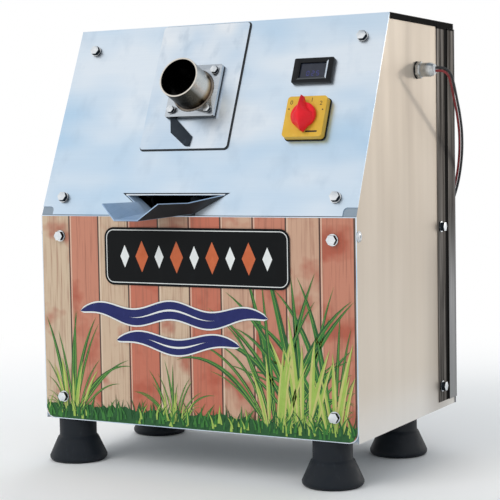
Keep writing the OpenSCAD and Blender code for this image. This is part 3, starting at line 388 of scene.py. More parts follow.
@dataclass(frozen=True)
class Moulded(Finish):
    """Moulded plastic or rubber: an even colour with a faint mottle, a fine grain and rubbed spots."""

    colour: str
    shade: str
    rubbed: str
    roughness: float = 0.4
    rough_spread: Pair = (-0.06, 0.08)
    mottle_mm: float = 9.0
    grain_mm: float = 0.7
    grain: float = 0.08
    grain_depth_mm: float = 0.15
    rubbed_span: Pair = (0.58, 0.78)
    rubbed_share: float = 0.3
    specular: float = 0.5

    def dress(self, surface: Surface) -> None:
        """Mottles the colour and grains the surface.

        Args:
            surface: The material's nodes.
        """
        wide = self.mottle_mm
        noise = surface.patterns(mottle=(even(wide), 3.0), grain=(even(self.grain_mm), 2.0),
                                 rubbed=((wide / 2, wide / 2, wide), 6.0))
        spots = Level(noise["rubbed"], self.rubbed_span, (0.0, self.rubbed_share))
        colour = surface.layered(self.colour, [(noise["mottle"], self.shade), (spots, self.rubbed)])
        set_inputs(surface.tree, surface.shader, {"Specular IOR Level": self.specular})
        least, most = (self.roughness + part for part in self.rough_spread)
        rough = Level(noise["mottle"], MID_NOISE, (least, most))
        surface.cover(colour, rough, noise["grain"], self.grain, self.grain_depth_mm)


@dataclass(frozen=True)
class Ink(Moulded):
    """Ink on film or plastic: smooth, with a slight sheen."""

    roughness: float = 0.5
    grain: float = 0.0
    specular: float = 0.3


@dataclass(frozen=True)
class Machined(Finish):
    """Turned, plated or cut metal: fine tool lines, a soft mottle and darker handling marks."""

    colour: str
    shade: str
    rough: Pair = (0.22, 0.38)
    line_mm: Point = (0.6, 25.0, 25.0)
    mottle_mm: float = 6.0
    mark_span: Pair = (0.42, 0.72)
    mark_share: float = 0.7

    def dress(self, surface: Surface) -> None:
        """Lays tool lines and a mottle on the metal.

        Args:
            surface: The material's nodes.
        """
        noise = surface.patterns(line=(self.line_mm, 2.0), mottle=(even(self.mottle_mm), 4.0))
        marks = Level(noise["mottle"], self.mark_span, (0.0, self.mark_share))
        set_inputs(surface.tree, surface.shader, {"Metallic": 1.0})
        rough = Level(noise["line"], MID_NOISE, self.rough)
        surface.cover(surface.layered(self.colour, [(marks, self.shade)]), rough, noise["line"])


@dataclass(frozen=True)
class Slope:
    """The sloped panel's plane; places on it are across, up and out from its face, in millimetres."""

    foot_y: float = -132.0
    foot_z: float = 293.0
    setback: float = 94.0
    rise: float = 219.0

    def axes(self) -> tuple[Vector, Vector, Vector]:
        """Directions across, up and out of the panel."""
        lean, stand = Vector((self.setback, self.rise)).normalized()
        return Vector((1, 0, 0)), Vector((0, lean, stand)), Vector((0, -stand, lean))

    def at(self, x: float, up: float, out: float) -> Vector:
        """Point of a place on the panel, in millimetres of the row's frame."""
        across, rising, outward = self.axes()
        return Vector((0, self.foot_y, self.foot_z)) + x * across + up * rising + out * outward

    def depth(self, out: float) -> float:
        """Distance along the outward way from the origin, in metres, of a plane out from the face."""
        return self.at(0, 0, out).dot(self.axes()[2]) * MM


SLOPE = Slope()
OUTWARD: Point = tuple(SLOPE.axes()[2])


@dataclass(frozen=True)
class WeldedPipe(Finish):
    """Drawn stainless pipe on a cut flange: turned lines, with straw and brown heat tint at the weld, a
    painted highlight and shade round its wall and a painted shade in its bore.
    """

    colour: str
    flange: str
    straw: str
    burnt: str
    # The bore's colour: a painted shade
    inside: str
    x: float = -22.0
    up: float = 149.0
    bore_r: float = 22.15
    bore_edge: Pair = (0.1, 0.4)
    bore_share: float = 0.97
    weld_mm: float = 4.5
    tint_mm: float = 23.5
    tint_stops: tuple[float, ...] = (0.0, 0.26, 0.33, 0.55, 0.85)
    uneven: float = 0.16
    wall_span: Pair = (0.2, 0.5)
    grain_mm: Point = (40.0, 0.8, 2.0)
    mottle_mm: float = 9.0
    # Where the painted highlight lies round the wall, and the ramp of painted shade and highlight
    glint_deg: float = 14.0
    painted_shine: Stops = ((0.0, "#2E2925"), (0.56, "#46413A"), (0.78, "#6A645B"), (0.92, WHITE), (1.0, WHITE))
    rough: Pair = (0.22, 0.4)

    def dress(self, surface: Surface) -> None:
        """Tints the metal by its distance from the weld, paints a highlight and shade on the wall by its
        facing, and paints the bore dark as shade.

        Args:
            surface: The material's nodes.
        """
        tree = surface.tree
        across, rising, _ = SLOPE.axes()
        noise = surface.patterns(grain=(self.grain_mm, 3.0), mottle=(even(self.mottle_mm), 5.0))
        out = add_node(tree, "VectorMath", {0: surface.place, 1: OUTWARD}, operation="DOT_PRODUCT")
        from_weld = Level(out, (SLOPE.depth(self.weld_mm), SLOPE.depth(self.tint_mm)))
        spread = {0: noise["mottle"], 1: self.uneven, 2: from_weld}
        raised = add_node(tree, "Math", spread, operation="MULTIPLY_ADD")
        level = add_node(tree, "Math", {0: raised, 1: self.uneven / 2}, operation="SUBTRACT")
        colours = (self.flange, self.flange, self.burnt, self.straw, self.colour)
        tint = add_node(tree, "ValToRGB", {0: level}, tuple(zip(self.tint_stops, colours)))
        # Painted highlight and shade: bright where the wall faces the glint direction, dark elsewhere, on the
        # wall's faces
        glint = math.radians(self.glint_deg)
        turn = surface.facing(tuple(math.cos(glint) * across + math.sin(glint) * rising))
        painted_shine = add_node(tree, "ValToRGB", {0: Level(turn, (-1.0, 1.0))}, self.painted_shine)
        wall = Level(surface.facing(OUTWARD), self.wall_span, (1.0, 0.0))
        shaded = add_node(tree, "Mix", {0: wall, 6: tint, 7: painted_shine}, data_type="RGBA", blend_type="MULTIPLY")
        # Painted shade: the bore dark inside the tube
        middle = tuple(SLOPE.at(self.x, self.up, 0) * MM)
        offset = add_node(tree, "VectorMath", {0: surface.place, 1: middle}, operation="SUBTRACT")
        arm = add_node(tree, "VectorMath", {0: offset, 1: OUTWARD}, operation="CROSS_PRODUCT")
        radius = add_node(tree, "VectorMath", {0: arm}, operation="LENGTH")
        near, far = ((self.bore_r + edge) * MM for edge in self.bore_edge)
        bore = Level(radius, (near, far), (self.bore_share, 0.0))
        set_inputs(tree, surface.shader, {"Metallic": 1.0})
        rough = Level(noise["grain"], MID_NOISE, self.rough)
        surface.cover(surface.layered(shaded, [(bore, self.inside)]), rough, noise["grain"])


@dataclass(frozen=True)
class PlankPrint(Finish):
    """Printed vinyl film: upright boards in two warm tones, with grain, scorched patches and dark gaps."""

    salmon: str
    tan: str
    scorched: str
    grain: str
    gap: str
    light: str
    board_mm: float = 40.5
    gap_mm: float = 1.7
    grain_mm: Point = (2.2, 20.0, 55.0)
    scorch_mm: Point = (46.0, 60.0, 42.0)
    film_mm: float = 38.0
    gap_share: float = 0.95
    light_share: float = 0.55
    gap_edge: Pair = (0.5, 1.5)
    light_place: Pair = (2.4, 0.9)
    first_board: float = 20.04
    scorch_span: Pair = (0.54, 0.68)
    scorch_share: float = 0.75
    grain_span: Pair = (0.5, 0.74)
    grain_share: float = 0.6
    rough: Pair = (0.36, 0.5)
    wave: float = 0.12
    wave_mm: float = 1.0

    def dress(self, surface: Surface) -> None:
        """Draws the boards across the film.

        Args:
            surface: The material's nodes.
        """
        tree = surface.tree
        across = add_node(tree, "SeparateXYZ", {0: surface.place}).outputs[0]
        scaled = {0: across, 1: 1 / (self.board_mm * MM), 2: self.first_board}
        count = add_node(tree, "Math", scaled, operation="MULTIPLY_ADD")
        board, part = (add_node(tree, "Math", {0: count}, operation=way) for way in ("FLOOR", "FRACT"))
        drawn = add_node(tree, "TexWhiteNoise", {"W": board}, noise_dimensions="1D")
        pair = add_node(tree, "Math", {0: board, 1: 1.0}, operation="PINGPONG")
        tone = add_node(tree, "Math", {0: pair, 1: drawn}, operation="ADD")
        shift = add_node(tree, "CombineXYZ", {2: board})
        moved = add_node(tree, "VectorMath", {0: surface.place, 1: shift}, operation="ADD")
        noise = replace(surface, place=moved).patterns(
            grain=(self.grain_mm, 4.0), scorch=(self.scorch_mm, 3.0), film=(even(self.film_mm), 1.0))
        half = self.gap_mm / self.board_mm / 2
        edge = add_node(tree, "Math", {0: part, 1: 0.5}, operation="PINGPONG")
        (inner, outer), (past, wide) = self.gap_edge, self.light_place
        lit = add_node(tree, "Math", {0: part, 1: half * past, 2: half * wide}, operation="COMPARE")
        colour = surface.layered(self.salmon, [
            (Level(tone, (0.0, 2.0)), self.tan),
            (Level(noise["scorch"], self.scorch_span, (0.0, self.scorch_share)), self.scorched),
            (Level(noise["grain"], self.grain_span, (0.0, self.grain_share)), self.grain),
            (Level(lit, values=(0.0, self.light_share)), self.light),
            (Level(edge, (half * inner, half * outer), (self.gap_share, 0.0)), self.gap)])
        surface.cover(colour, Level(noise["film"], values=self.rough), noise["film"], self.wave, self.wave_mm)


@dataclass(frozen=True)
class LitSegment(Finish):
    """Lit bars of a display behind a smoked lens: a dim glow, uneven along the bar."""

    colour: str
    bar: str
    glow: Pair
    uneven_mm: float = 2.0

    def dress(self, surface: Surface) -> None:
        """Sets a dim, slightly uneven glow.

        Args:
            surface: The material's nodes.
        """
        noise = surface.patterns(uneven=(even(self.uneven_mm), 1.0))
        set_inputs(surface.tree, surface.shader, {
            "Base Color": self.bar, "Emission Color": self.colour,
            "Emission Strength": Level(noise["uneven"], values=self.glow)})


@dataclass(frozen=True)
class StudioPaper(Finish):
    """Pale backdrop paper: matt, with a faint mottle, that passes into the white background further out."""

    colour: str
    shade: str
    roughness: float = 0.85
    fade: Pair = (0.35, 1.25)
    mottle_mm: float = 300.0

    def dress(self, surface: Surface) -> None:
        """Mottles the paper, and fades it to white away from the object.

        Args:
            surface: The material's nodes.
        """
        tree = surface.tree
        noise = surface.patterns(mottle=(even(self.mottle_mm), 3.0))
        colour = surface.layered(self.colour, [(noise["mottle"], self.shade)])
        set_inputs(tree, surface.shader, {"Base Color": colour, "Roughness": self.roughness})
        away = add_node(tree, "VectorMath", {0: surface.place}, operation="LENGTH")
        faded = Level(away, self.fade, smooth=True)
        share = add_node(tree, "Math", {0: faded, 1: seen_rays(tree)}, operation="MULTIPLY")
        white = add_node(tree, "Emission", {0: WHITE, 1: 1.0})
        mixed = add_node(tree, "MixShader", {0: share, 1: surface.shader, 2: white})
        set_inputs(tree, surface.output, {"Surface": mixed})


# Bright rolled stainless sheet: its pale blue and its soft white clouds are a painted reflection of the sky
# and surroundings
PANEL_STEEL = SheetMetal("stainless_sheet_bright_rolled", "#BAD5EC", "#E9EFF5", "#A3BAD0", rough=(0.3, 0.37),
                         cloud_mm=(170.0, 110.0, 80.0), stain_mm=(24.0, 24.0, 40.0), stain_share=0.3,
                         line_share=0.05, grain=0.04)
# The same sheet with the same painted blue reflection and a coarser polish, for the plate that carries the
# feed tube; its edge walls are painted near black as a painted shadow line
PLATE_STEEL = SheetMetal("stainless_sheet_ground", "#C6D9EB", "#F0F3F6", "#93A9BE", rough=(0.3, 0.37),
                         cloud_mm=(60.0, 60.0, 80.0), line_share=0.06, grain=0.05,
                         # Painted shadow: the plate's edge walls near black
                         turned=Turned(OUTWARD, "#14181D"))
# Stainless sheet brushed upright, with wide soft streaks; its warm beige is a painted reflection, its folded
# edges a grey-blue painted reflection, paler towards the bottom as painted light and darker towards the rear
# as painted shade
SIDE_STEEL = SheetMetal("stainless_sheet_brushed", "#C1B6A8", "#CAC0B3", "#A79C90", rough=(0.42, 0.5),
                        grain_mm=(60.0, 22.0, 520.0), cloud_mm=(200.0, 60.0, 240.0),
                        stain_mm=(40.0, 24.0, 300.0), stain_share=0.3, line_share=0.13, metallic=0.8,
                        # Painted reflection: faces turned from the side grey-blue
                        turned=Turned((1.0, 0.0, 0.0), "#93A1AE"),
                        # Painted light: paler towards the bottom in two steps; painted shade: a darker patch
                        # towards the rear
                        bands=(Band((-160, 0), (160, 170), "#DCD3C6", 0.7, (1.0, 130.0)),
                               Band((-160, 0), (160, 80), "#E6E5E3", 0.75, (1.0, 36.0)),
                               Band((70, 40), (140, 260), "#83786D", 0.5, (36.0, 40.0))))
# Dull galvanised sheet: brown grey with upright black streaks and a black lip; the hem paler lower down and
# the rear sheet a lighter grey; a black painted shadow in the step in front of the hem, and upward faces a
# paler grey as painted light
COVER_STEEL = SheetMetal("galvanised_sheet_dulled", "#67635F", "#A09C98", "#191817", rough=(0.42, 0.58),
                         grain_mm=(3.0, 4.0, 170.0), cloud_mm=(26.0, 7.0, 150.0), stain_mm=(7.0, 5.0, 130.0),
                         stain_share=0.85, line_share=0.6, metallic=0.85, edge="#4A4A4A",
                         # Painted light: upward faces a paler grey
                         turned=Turned((0.0, 0.0, -1.0), "#A3A8AC", limit=-0.5, both=False),
                         bands=(Band((129.6, 0), (150.5, 240), "#C2C4C6", 0.6, (0.3, 70.0)),
                                # Painted shadow: a black line in the step in front of the hem
                                Band((121.5, 0), (129.4, 540), "#0B0B0B"),
                                Band((151.0, 0), (160, 540), "#969A9D", 0.82),
                                Band((-60, 503), (150, 511.4), "#050506", 0.97)))
# Galvanised sheet inside the cabinet: grey spangle in soft patches
INNER_STEEL = SheetMetal("galvanised_sheet_spangled", "#A9AFB4", "#C3C8CC", "#82898F", rough=(0.35, 0.55),
                         grain_mm=even(9.0), cloud_mm=even(25.0))
# Folded stainless sheet of the spout: scratched along the pour, its blue grey a painted reflection, and dark
# grey on faces turned downward as painted shade
SPOUT_STEEL = SheetMetal("stainless_sheet_folded", "#9DB9D8", "#BDD2E8", "#708AA6", rough=(0.3, 0.45),
                         grain_mm=(0.9, 40.0, 40.0), cloud_mm=even(35.0), metallic=0.35,
                         # Painted shade: faces turned downward dark grey
                         turned=Turned((0.0, 0.0, 1.0), "#26272A", limit=-0.1, both=False))
# Stainless sheet of the tray inside the mouth: almost black, a painted shade deep in the mouth
TRAY_STEEL = SheetMetal("stainless_sheet_shade_darkened", "#0F1113", "#1C1F22", "#060708", rough=(0.35, 0.6),
                        cloud_mm=even(35.0))
# Rolled hem of bright stainless sheet over the spout's mouth: a pale line, paler than the sheet as a painted
# highlight along the mouth's edge
HEM_STEEL = SheetMetal("stainless_sheet_hemmed", "#DDE5EC", "#EEF2F5", "#A4B2BF", cloud_mm=even(30.0))
# Zinc plated steel, tumbled: bright and soft edged, with grey handling marks
ZINC = Machined("zinc_plated_steel_tumbled", "#D2D6D9", "#8F9498", mottle_mm=4.0)
# The same plating on hexagon heads: bright faces, and flanks painted dark as painted shade by the way that
# the heads face
SLOPE_HEADS = SheetMetal("zinc_plated_heads_slope", "#DDE3E8", "#F2F5F7", "#8E979E", cloud_mm=even(6.0),
                         grain_mm=(5.0, 5.0, 0.7), turned=Turned(OUTWARD, "#23292F", limit=0.8))
# The same heads on the lower front, with the same painted shade on their flanks
FRONT_HEADS = replace(SLOPE_HEADS, name="zinc_plated_heads_front",
                      turned=replace(SLOPE_HEADS.turned, way=(0.0, 1.0, 0.0)))
# The same heads on the cover's sides, with the same painted shade on their flanks
COVER_HEADS = replace(SLOPE_HEADS, name="zinc_plated_heads_side",
                      turned=replace(SLOPE_HEADS.turned, way=(1.0, 0.0, 0.0)))
# Drawn stainless pipe: warm grey, with straw and brown where the weld heated it; a painted highlight streak
# and shade on its wall and a black painted shade in its bore
PIPE = WeldedPipe("stainless_pipe_welded", "#E0DAD0", "#C2C9D0", "#B79F7C", "#6B5342", "#050505")
# Weld bead: dull ripples of brown and grey
WELD = Machined("stainless_weld_bead", "#8F867C", "#4E4036", rough=(0.35, 0.55), line_mm=even(2.0))
# Ground plate steel of the mill: grey with straight grinding lines
MILL_STEEL = Machined("mild_steel_plate_ground", "#9CA1A5", "#6F7478", line_mm=(20.0, 30.0, 0.8))
# Turned carbon steel of rollers and shafts: bright lines round the axis
TURNED_STEEL = Machined("carbon_steel_turned", "#B9BDC0", "#84898D")
# Hobbed gear steel: darker, with an oil film in the roots
GEAR_STEEL = Machined("alloy_steel_hobbed", "#8E9296", "#4F4A44", line_mm=(0.7, 12.0, 12.0))
# Tin bronze, bored and turned: yellow brown with a dull bloom
BRONZE = Machined("tin_bronze_turned", "#B5894E", "#7A5A30")
# Nickel plated brass of the cable gland: light grey, slightly warm
NICKEL = Machined("brass_nickel_plated", "#C9CBCB", "#8B8F92", mottle_mm=5.0)
# Natural rubber, moulded: near black with grey bloom
FOOT_RUBBER = Moulded("natural_rubber_moulded", "#0D131A", "#131A22", "#2B333B", roughness=0.55, grain=0.2,
                      specular=0.3)
# Nitrile rubber sheet, cut: dark slate with dusty spots
GASKET_RUBBER = Moulded("nitrile_rubber_cut_sheet", "#222C36", "#1A222A", "#46525E", roughness=0.6, grain=0.2,
                        specular=0.3)
# EPDM rubber of the seals, extruded: black and matt
SEAL_RUBBER = Moulded("epdm_rubber_extruded", "#08090B", "#0E1012", "#1E2225", roughness=0.6, grain=0.1,
                      specular=0.2)
# A dark grey bead with a soft sheen, standing in for the shadow line round the feed plate: a painted shadow
SHADOW_BEAD = Moulded("dark_bead_painted_shadow", "#2B2F34", "#23272B", "#474C52", roughness=0.45, grain=0.1,
                  specular=0.3)
# Silicone rubber of the gland's insert, moulded: milky and soft
PALE_RUBBER = Moulded("silicone_rubber_moulded", "#E4E6E6", "#D8DBDC", "#F0F1F1", roughness=0.5,
                      mottle_mm=4.0)
# Yellow ABS, moulded: a soft gloss with a faint mottle
YELLOW_ABS = Moulded("abs_yellow_moulded", "#E0B442", "#D3A734", "#EACD70", roughness=0.42, specular=0.35)
# Red ABS, moulded: a strong, even colour with a soft gloss
RED_ABS = Moulded("abs_red_moulded", "#EE1B2A", "#DE1322", "#F2454C", grain=0.03, specular=0.3)
# Black ABS, moulded: deep black with little gloss
BLACK_ABS = Moulded("abs_black_moulded", "#05070B", "#090C10", "#1A1F26", specular=0.25)
# Grey polyamide, moulded: matt, with rubbed pale spots
GREY_POLYAMIDE = Moulded("polyamide_grey_moulded", "#4A4D50", "#3F4245", "#6A6D70", roughness=0.5)
# Smoked acrylic, polished: dark slate with a sharp gloss
SMOKED_ACRYLIC = Moulded("acrylic_smoked_polished", "#262B38", "#202532", "#363D4C", roughness=0.16,
                         grain=0.0, specular=0.4)
# A pale grey painted highlight for the right side of the meter window's bevel
BEVEL_HIGHLIGHT = Moulded("bevel_edge_painted_highlight", "#C9D2DB", "#B4BEC8", "#E2E8EE", roughness=0.3, grain=0.0)
# Enamel on cast iron: an even grey over a soft orange peel
GREY_ENAMEL = Moulded("cast_iron_enamelled", "#6E7A84", "#626D76", "#8B959D", roughness=0.38, grain_mm=1.6,
                      grain=0.2)
# Enamel on drawn steel: an even black over the same orange peel
BLACK_ENAMEL = Moulded("drawn_steel_enamelled", "#22262B", "#1B1F23", "#464B50", roughness=0.36, grain_mm=1.6,
                       grain=0.2)
# Soft red PVC of a wire, extruded: deep red with a waxy sheen
RED_PVC = Moulded("pvc_red_extruded", "#881A1F", "#7A161B", "#A04246", mottle_mm=14.0)
# Soft black PVC of a wire, extruded: a waxy sheen
BLACK_PVC = Moulded("pvc_black_extruded", "#15171A", "#1C1F22", "#3B3F43", mottle_mm=14.0)
# Printed vinyl film: warm boards with dark gaps under a slightly wavy sheen
BOARDS = PlankPrint("vinyl_film_printed_boards", "#BC6A52", "#C8B297", "#A4432A", "#8E5844", "#0E0806",
                    "#E2CDB6")
# Dark green ink, printed on the film: deep, for the shaded half of a blade
LEAF_DARK = Ink("vinyl_ink_leaf_dark", "#2C5F34", "#234F2B", "#3C7042")
# Mid green ink, printed: fresher, for the lit half of a blade
LEAF_MID = Ink("vinyl_ink_leaf_mid", "#3F7F3A", "#356F31", "#5C954C")
# Pale green ink, printed: light, for broad blades and ribs
LEAF_PALE = Ink("vinyl_ink_leaf_pale", "#A3BF5C", "#93B04E", "#BCD07C")
# Straw ink, printed: dry and yellowish, for the other half of broad blades
LEAF_STRAW = Ink("vinyl_ink_leaf_straw", "#C6C27A", "#B8B56A", "#D6D292")
# Black ink of the label, printed: deep, with hardly any gloss
LABEL_INK = Ink("vinyl_ink_label_black", "#040608", "#080B0D", "#14181B", mottle_mm=40.0, specular=0.15)
# Pale ink, printed: a near white for edges and outlines
PALE_INK = Ink("vinyl_ink_pale", "#E6E8E6", "#DADDDA", "#F0F1F0")
# Orange ink, printed: warm, for every second lozenge
ORANGE_INK = Ink("vinyl_ink_orange", "#C9683F", "#B85B35", "#DA8158")
# Navy ink, printed: a dark blue for the ribbons
NAVY_INK = Ink("vinyl_ink_navy", "#1C2463", "#171E55", "#2E3778")
# Pad printed ink of the switch's marks: a warm black
MARK_INK = Ink("pad_printed_ink_black", "#1B1A16", "#24221C", "#3A362C", specular=0.5)
# Lit bars of the display: a dim violet glow through the smoked lens
SEGMENT = LitSegment("display_segment_lit", "#5A58D8", "#1A1C2C", (0.18, 0.42))
# Backdrop paper: an even near white
FLOOR_PAPER = StudioPaper("studio_paper_pale", "#FAFAF9", "#F7F7F6")


def circle(count: int) -> list[Pair]:
    """Points of a circle of radius one, counter-clockwise."""
    return [(math.cos(math.tau * k / count), math.sin(math.tau * k / count)) for k in range(count)]


def round_rect(half_w: float, half_h: float, r: float, steps: int = 8) -> list[Pair]:
    """Outline of a rectangle with round corners, about its middle.

    Args:
        half_w: Half its width.
        half_h: Half its height.
        r: Radius of its corners.
        steps: Number of steps round each corner.

    Returns:
        Points across and up, counter-clockwise.
    """
    found = []
    for corner, (sx, sy) in enumerate(((1, 1), (-1, 1), (-1, -1), (1, -1))):
        for k in range(steps + 1):
            a = math.radians(90 * (corner + k / steps))
            found.append((sx * (half_w - r) + r * math.cos(a), sy * (half_h - r) + r * math.sin(a)))
    return found


def add_object(name: str, data: bpy.types.ID) -> bpy.types.Object:
    """Puts a new object in the scene.

    Args:
        name: The object's name.
        data: Its mesh, curve, lamp or camera.

    Returns:
        The object.
    """
    made = bpy.data.objects.new(name, data)
    bpy.context.scene.collection.objects.link(made)
    return made


@dataclass
class Shape:
    """Points and faces of one mesh, in millimetres, gathered before it becomes a piece."""

    points: list[Vector] = field(default_factory=list)
    faces: list[tuple[int, ...]] = field(default_factory=list)
    inks: list[int] = field(default_factory=list)

    def add(self, points: list[Vector], faces: list[tuple[int, ...]], ink: int = 0) -> None:
        """Adds points and faces.

        Args:
            points: New points, in millimetres.
            faces: Faces by the place of their points in that list.
            ink: Place of the faces' finish in the piece's list of finishes.
        """
        start = len(self.points)
        self.points += points
        self.faces += [tuple(start + i for i in face) for face in faces]
        self.inks += [ink] * len(faces)

    def loft(self, lines: list[list[Vector]], ends: Ends = Ends.JOINED, ink: int = 0) -> None:
        """Joins lines or rings of equal count by quads.

        Args:
            lines: Lines of points, in order along the form.
            ends: How the run is closed.
            ink: Place of the faces' finish in the piece's list of finishes.
        """
        count, turn = len(lines), len(lines[0])
        runs = count if ends is Ends.JOINED else count - 1
        sides = turn - 1 if ends is Ends.SHEET else turn
        faces = [
            (i * turn + k, i * turn + (k + 1) % turn,
             (i + 1) % count * turn + (k + 1) % turn, (i + 1) % count * turn + k)
            for i in range(runs) for k in range(sides)]
        if ends is Ends.CAPPED:
            faces += [tuple(reversed(range(turn))), tuple((count - 1) * turn + k for k in range(turn))]
        self.add([point for line in lines for point in line], faces, ink)

    def turn(self, place: Point, profile: Profile, sides: int, ends: Ends = Ends.CAPPED,
             way: int = 1) -> None:
        """Turns a profile about an axis along X.

        Args:
            place: Where the axis starts.
            profile: Radii and distances along the axis.
            sides: Number of sides.
            ends: How the run of rings is closed.
            way: 1 for an axis to the right and -1 for one to the left.
        """
        x, y, z = place
        self.loft([[Vector((x + way * out, y + way * r * c, z + r * s)) for c, s in circle(sides)]
                   for r, out in profile], ends)

    def trim(self, x: float, up: float, size: Point, profile: Profile) -> None:
        """Runs a bead round a rectangle with round corners on the sloped panel.

        Args:
            x: The rectangle's middle across the panel.
            up: Its middle up the panel.
            size: Half its width, half its height and its corner radius.
            profile: The bead's section, as growth from the rectangle and height above the panel.
        """
        self.loft([[SLOPE.at(x + dx, up + dy, out) for dx, dy in round_rect(*(s + grow for s in size))]
                   for grow, out in profile])

    def patch(self, x: float, up: float, out: float, size: Pair) -> None:
        """Adds a rectangle of half a width and half a height on the sloped panel."""
        self.add([SLOPE.at(x + sx * size[0], up + sy * size[1], out) for sx, sy in CORNERS], [(0, 1, 2, 3)])

    def piece(self, name: str, finishes: list[Finish], slot: Slot, body: Body = Body.CABINET,
              sharp_deg: float = 40.0) -> bpy.types.Object:
        """Makes the mesh a piece that rides on a body.

        Args:
            name: The piece's name.
            finishes: Its finishes, in the order of the faces' inks.
            slot: The record's slot that its finish belongs to; not used.
            body: The body that carries it.
            sharp_deg: Angle above which an edge stays sharp, or zero for flat faces.

        Returns:
            The new object.
        """
        mesh = bpy.data.meshes.new(name)
        mesh.from_pydata([p * MM for p in self.points], [], self.faces)
        mesh.polygons.foreach_set("material_index", self.inks)
        mesh.polygons.foreach_set("use_smooth", [sharp_deg > 0] * len(self.faces))
        for finish in finishes:
            mesh.materials.append(finish.material())
        mesh.update()
        made = add_object(name, mesh)
        if sharp_deg:
            split = made.modifiers.new("sharp_edges", "EDGE_SPLIT")
            split.split_angle = math.radians(sharp_deg)
        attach(made, body.value)
        LOG.info("made %s on %s", name, body.value)
        return made


def dress(finish: Finish, *names: str, round_mm: float = 0.0, flat: bool = False) -> None:
    """Gives CAD nodes their finish and softens their edges.

    Args:
        finish: The finish.
        *names: The nodes' names.
        round_mm: Radius of their rounded edges, or zero for none.
        flat: Whether all their faces are flat, as on a folded sheet.
    """
    weld_mm, bevel_steps, bevel_deg, sharp_deg = 0.002, 2, 35, 32
    for name in names:
        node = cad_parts[name]
        node.data.materials.clear()
        node.data.materials.append(finish.material())
        if "custom_normal" in node.data.attributes:
            node.data.attributes.remove(node.data.attributes["custom_normal"])
        node.data.polygons.foreach_set("use_smooth", [not flat] * len(node.data.polygons))
        weld = node.modifiers.new("joined_corners", "WELD")
        weld.merge_threshold = weld_mm * MM
        if round_mm:
            bevel = node.modifiers.new("rounded_edges", "BEVEL")
            bevel.width = round_mm * MM
            bevel.segments = bevel_steps
            bevel.limit_method = "ANGLE"
            bevel.angle_limit = math.radians(bevel_deg)
        if not flat:
            split = node.modifiers.new("sharp_edges", "EDGE_SPLIT")
            split.split_angle = math.radians(sharp_deg)
        LOG.info("dressed %s with %s", name, finish.name)


@dataclass
class Studio:
    """Camera, soft light and pale floor, in metres."""

    lens_mm: float = 104.93
    sensor_mm: float = 36.0
    eye: Point = (0.8362, -1.5187, 0.3613)
    turn_deg: float = 28.73
    tilt_deg: float = -3.819
    roll_deg: float = 0.963
    aim: Point = (0.0, 0.0, 0.28)
    floor_size: float = 9.0
    room: str = "#EEF3F8"
    room_light: float = 0.72
    sky: Stops = ((0.0, WHITE), (0.76, WHITE), (0.94, "#8B97A3"), (1.0, "#6E7A86"))

    def camera(self) -> None:
        """Sets up the camera at the photograph's place."""
        data = bpy.data.cameras.new("photo_camera")
        data.lens = self.lens_mm
        data.sensor_width = self.sensor_mm
        way = Matrix.Translation(Vector(self.eye))
        for angle, axis in ((self.turn_deg, "Z"), (self.tilt_deg, "X"), (self.roll_deg, "Y"), (90.0, "X")):
            way = way @ Matrix.Rotation(math.radians(angle), 4, axis)
        camera = add_object("photo_camera", data)
        camera.matrix_world = way
        bpy.context.scene.camera = camera

    def world(self) -> None:
        """Lights the scene evenly, and shows white behind it and in its metal."""
        world = bpy.data.worlds.new("soft_white_room")
        bpy.context.scene.world = world
        world.use_nodes = True
        tree = world.node_tree
        tree.nodes.clear()
        sight = add_node(tree, "TexCoord").outputs["Generated"]
        height = add_node(tree, "SeparateXYZ", {0: sight}).outputs[2]
        sky = add_node(tree, "ValToRGB", {0: height}, self.sky)
        glossy = add_node(tree, "LightPath").outputs["Is Glossy Ray"]
        mirrored = add_node(tree, "Mix", {0: glossy, 6: WHITE, 7: sky}, data_type="RGBA")
        light = add_node(tree, "Background", {0: self.room, 1: self.room_light})
        white = add_node(tree, "Background", {0: mirrored, 1: 1.0})
        mixed = add_node(tree, "MixShader", {0: seen_rays(tree), 1: light, 2: white})
        add_node(tree, "OutputWorld", {"Surface": mixed})

    def lamp(self, name: str, place: Point, size: float, watts: float, colour: str = WHITE,
             mirrored: bool = False) -> None:
        """Adds one soft box that points at the object.

        Args:
            name: The lamp's name.
            place: Where it hangs.
            size: Its width and height.
            watts: Its power.
            colour: Its colour.
            mirrored: Whether metal shows it.
        """
        data = bpy.data.lights.new(name, "AREA")
        data.size = size
        data.energy = watts
        data.color = linear(colour)[:3]
        lamp = add_object(name, data)
        way = (Vector(self.aim) - Vector(place)).to_track_quat("-Z", "Y")
        lamp.matrix_world = Matrix.Translation(Vector(place)) @ way.to_matrix().to_4x4()
        lamp.visible_glossy = mirrored

    def floor(self) -> None:
        """Lays a plain pale floor."""
        half = self.floor_size / 2
        mesh = bpy.data.meshes.new("studio_floor")
        mesh.from_pydata([(sx * half, sy * half, 0) for sx, sy in CORNERS], [], [(0, 1, 2, 3)])
        mesh.materials.append(FLOOR_PAPER.material())
        add_object("studio_floor", mesh)

    def light(self) -> None:
        """Hangs the lamps: two wide ones, and a small one low at the right rear for the side's shadows."""
        self.lamp("front_soft_box", (-0.9, -2.4, 2.0), size=1.8, watts=35.0)
        self.lamp("right_lamp", (2.8, 4.2, 0.85), size=0.45, watts=11.0, colour="#FFF6EA", mirrored=True)
        self.lamp("rear_soft_box", (-0.6, 2.4, 1.9), size=1.6, watts=22.0)
        bpy.context.scene.view_settings.view_transform = "Standard"


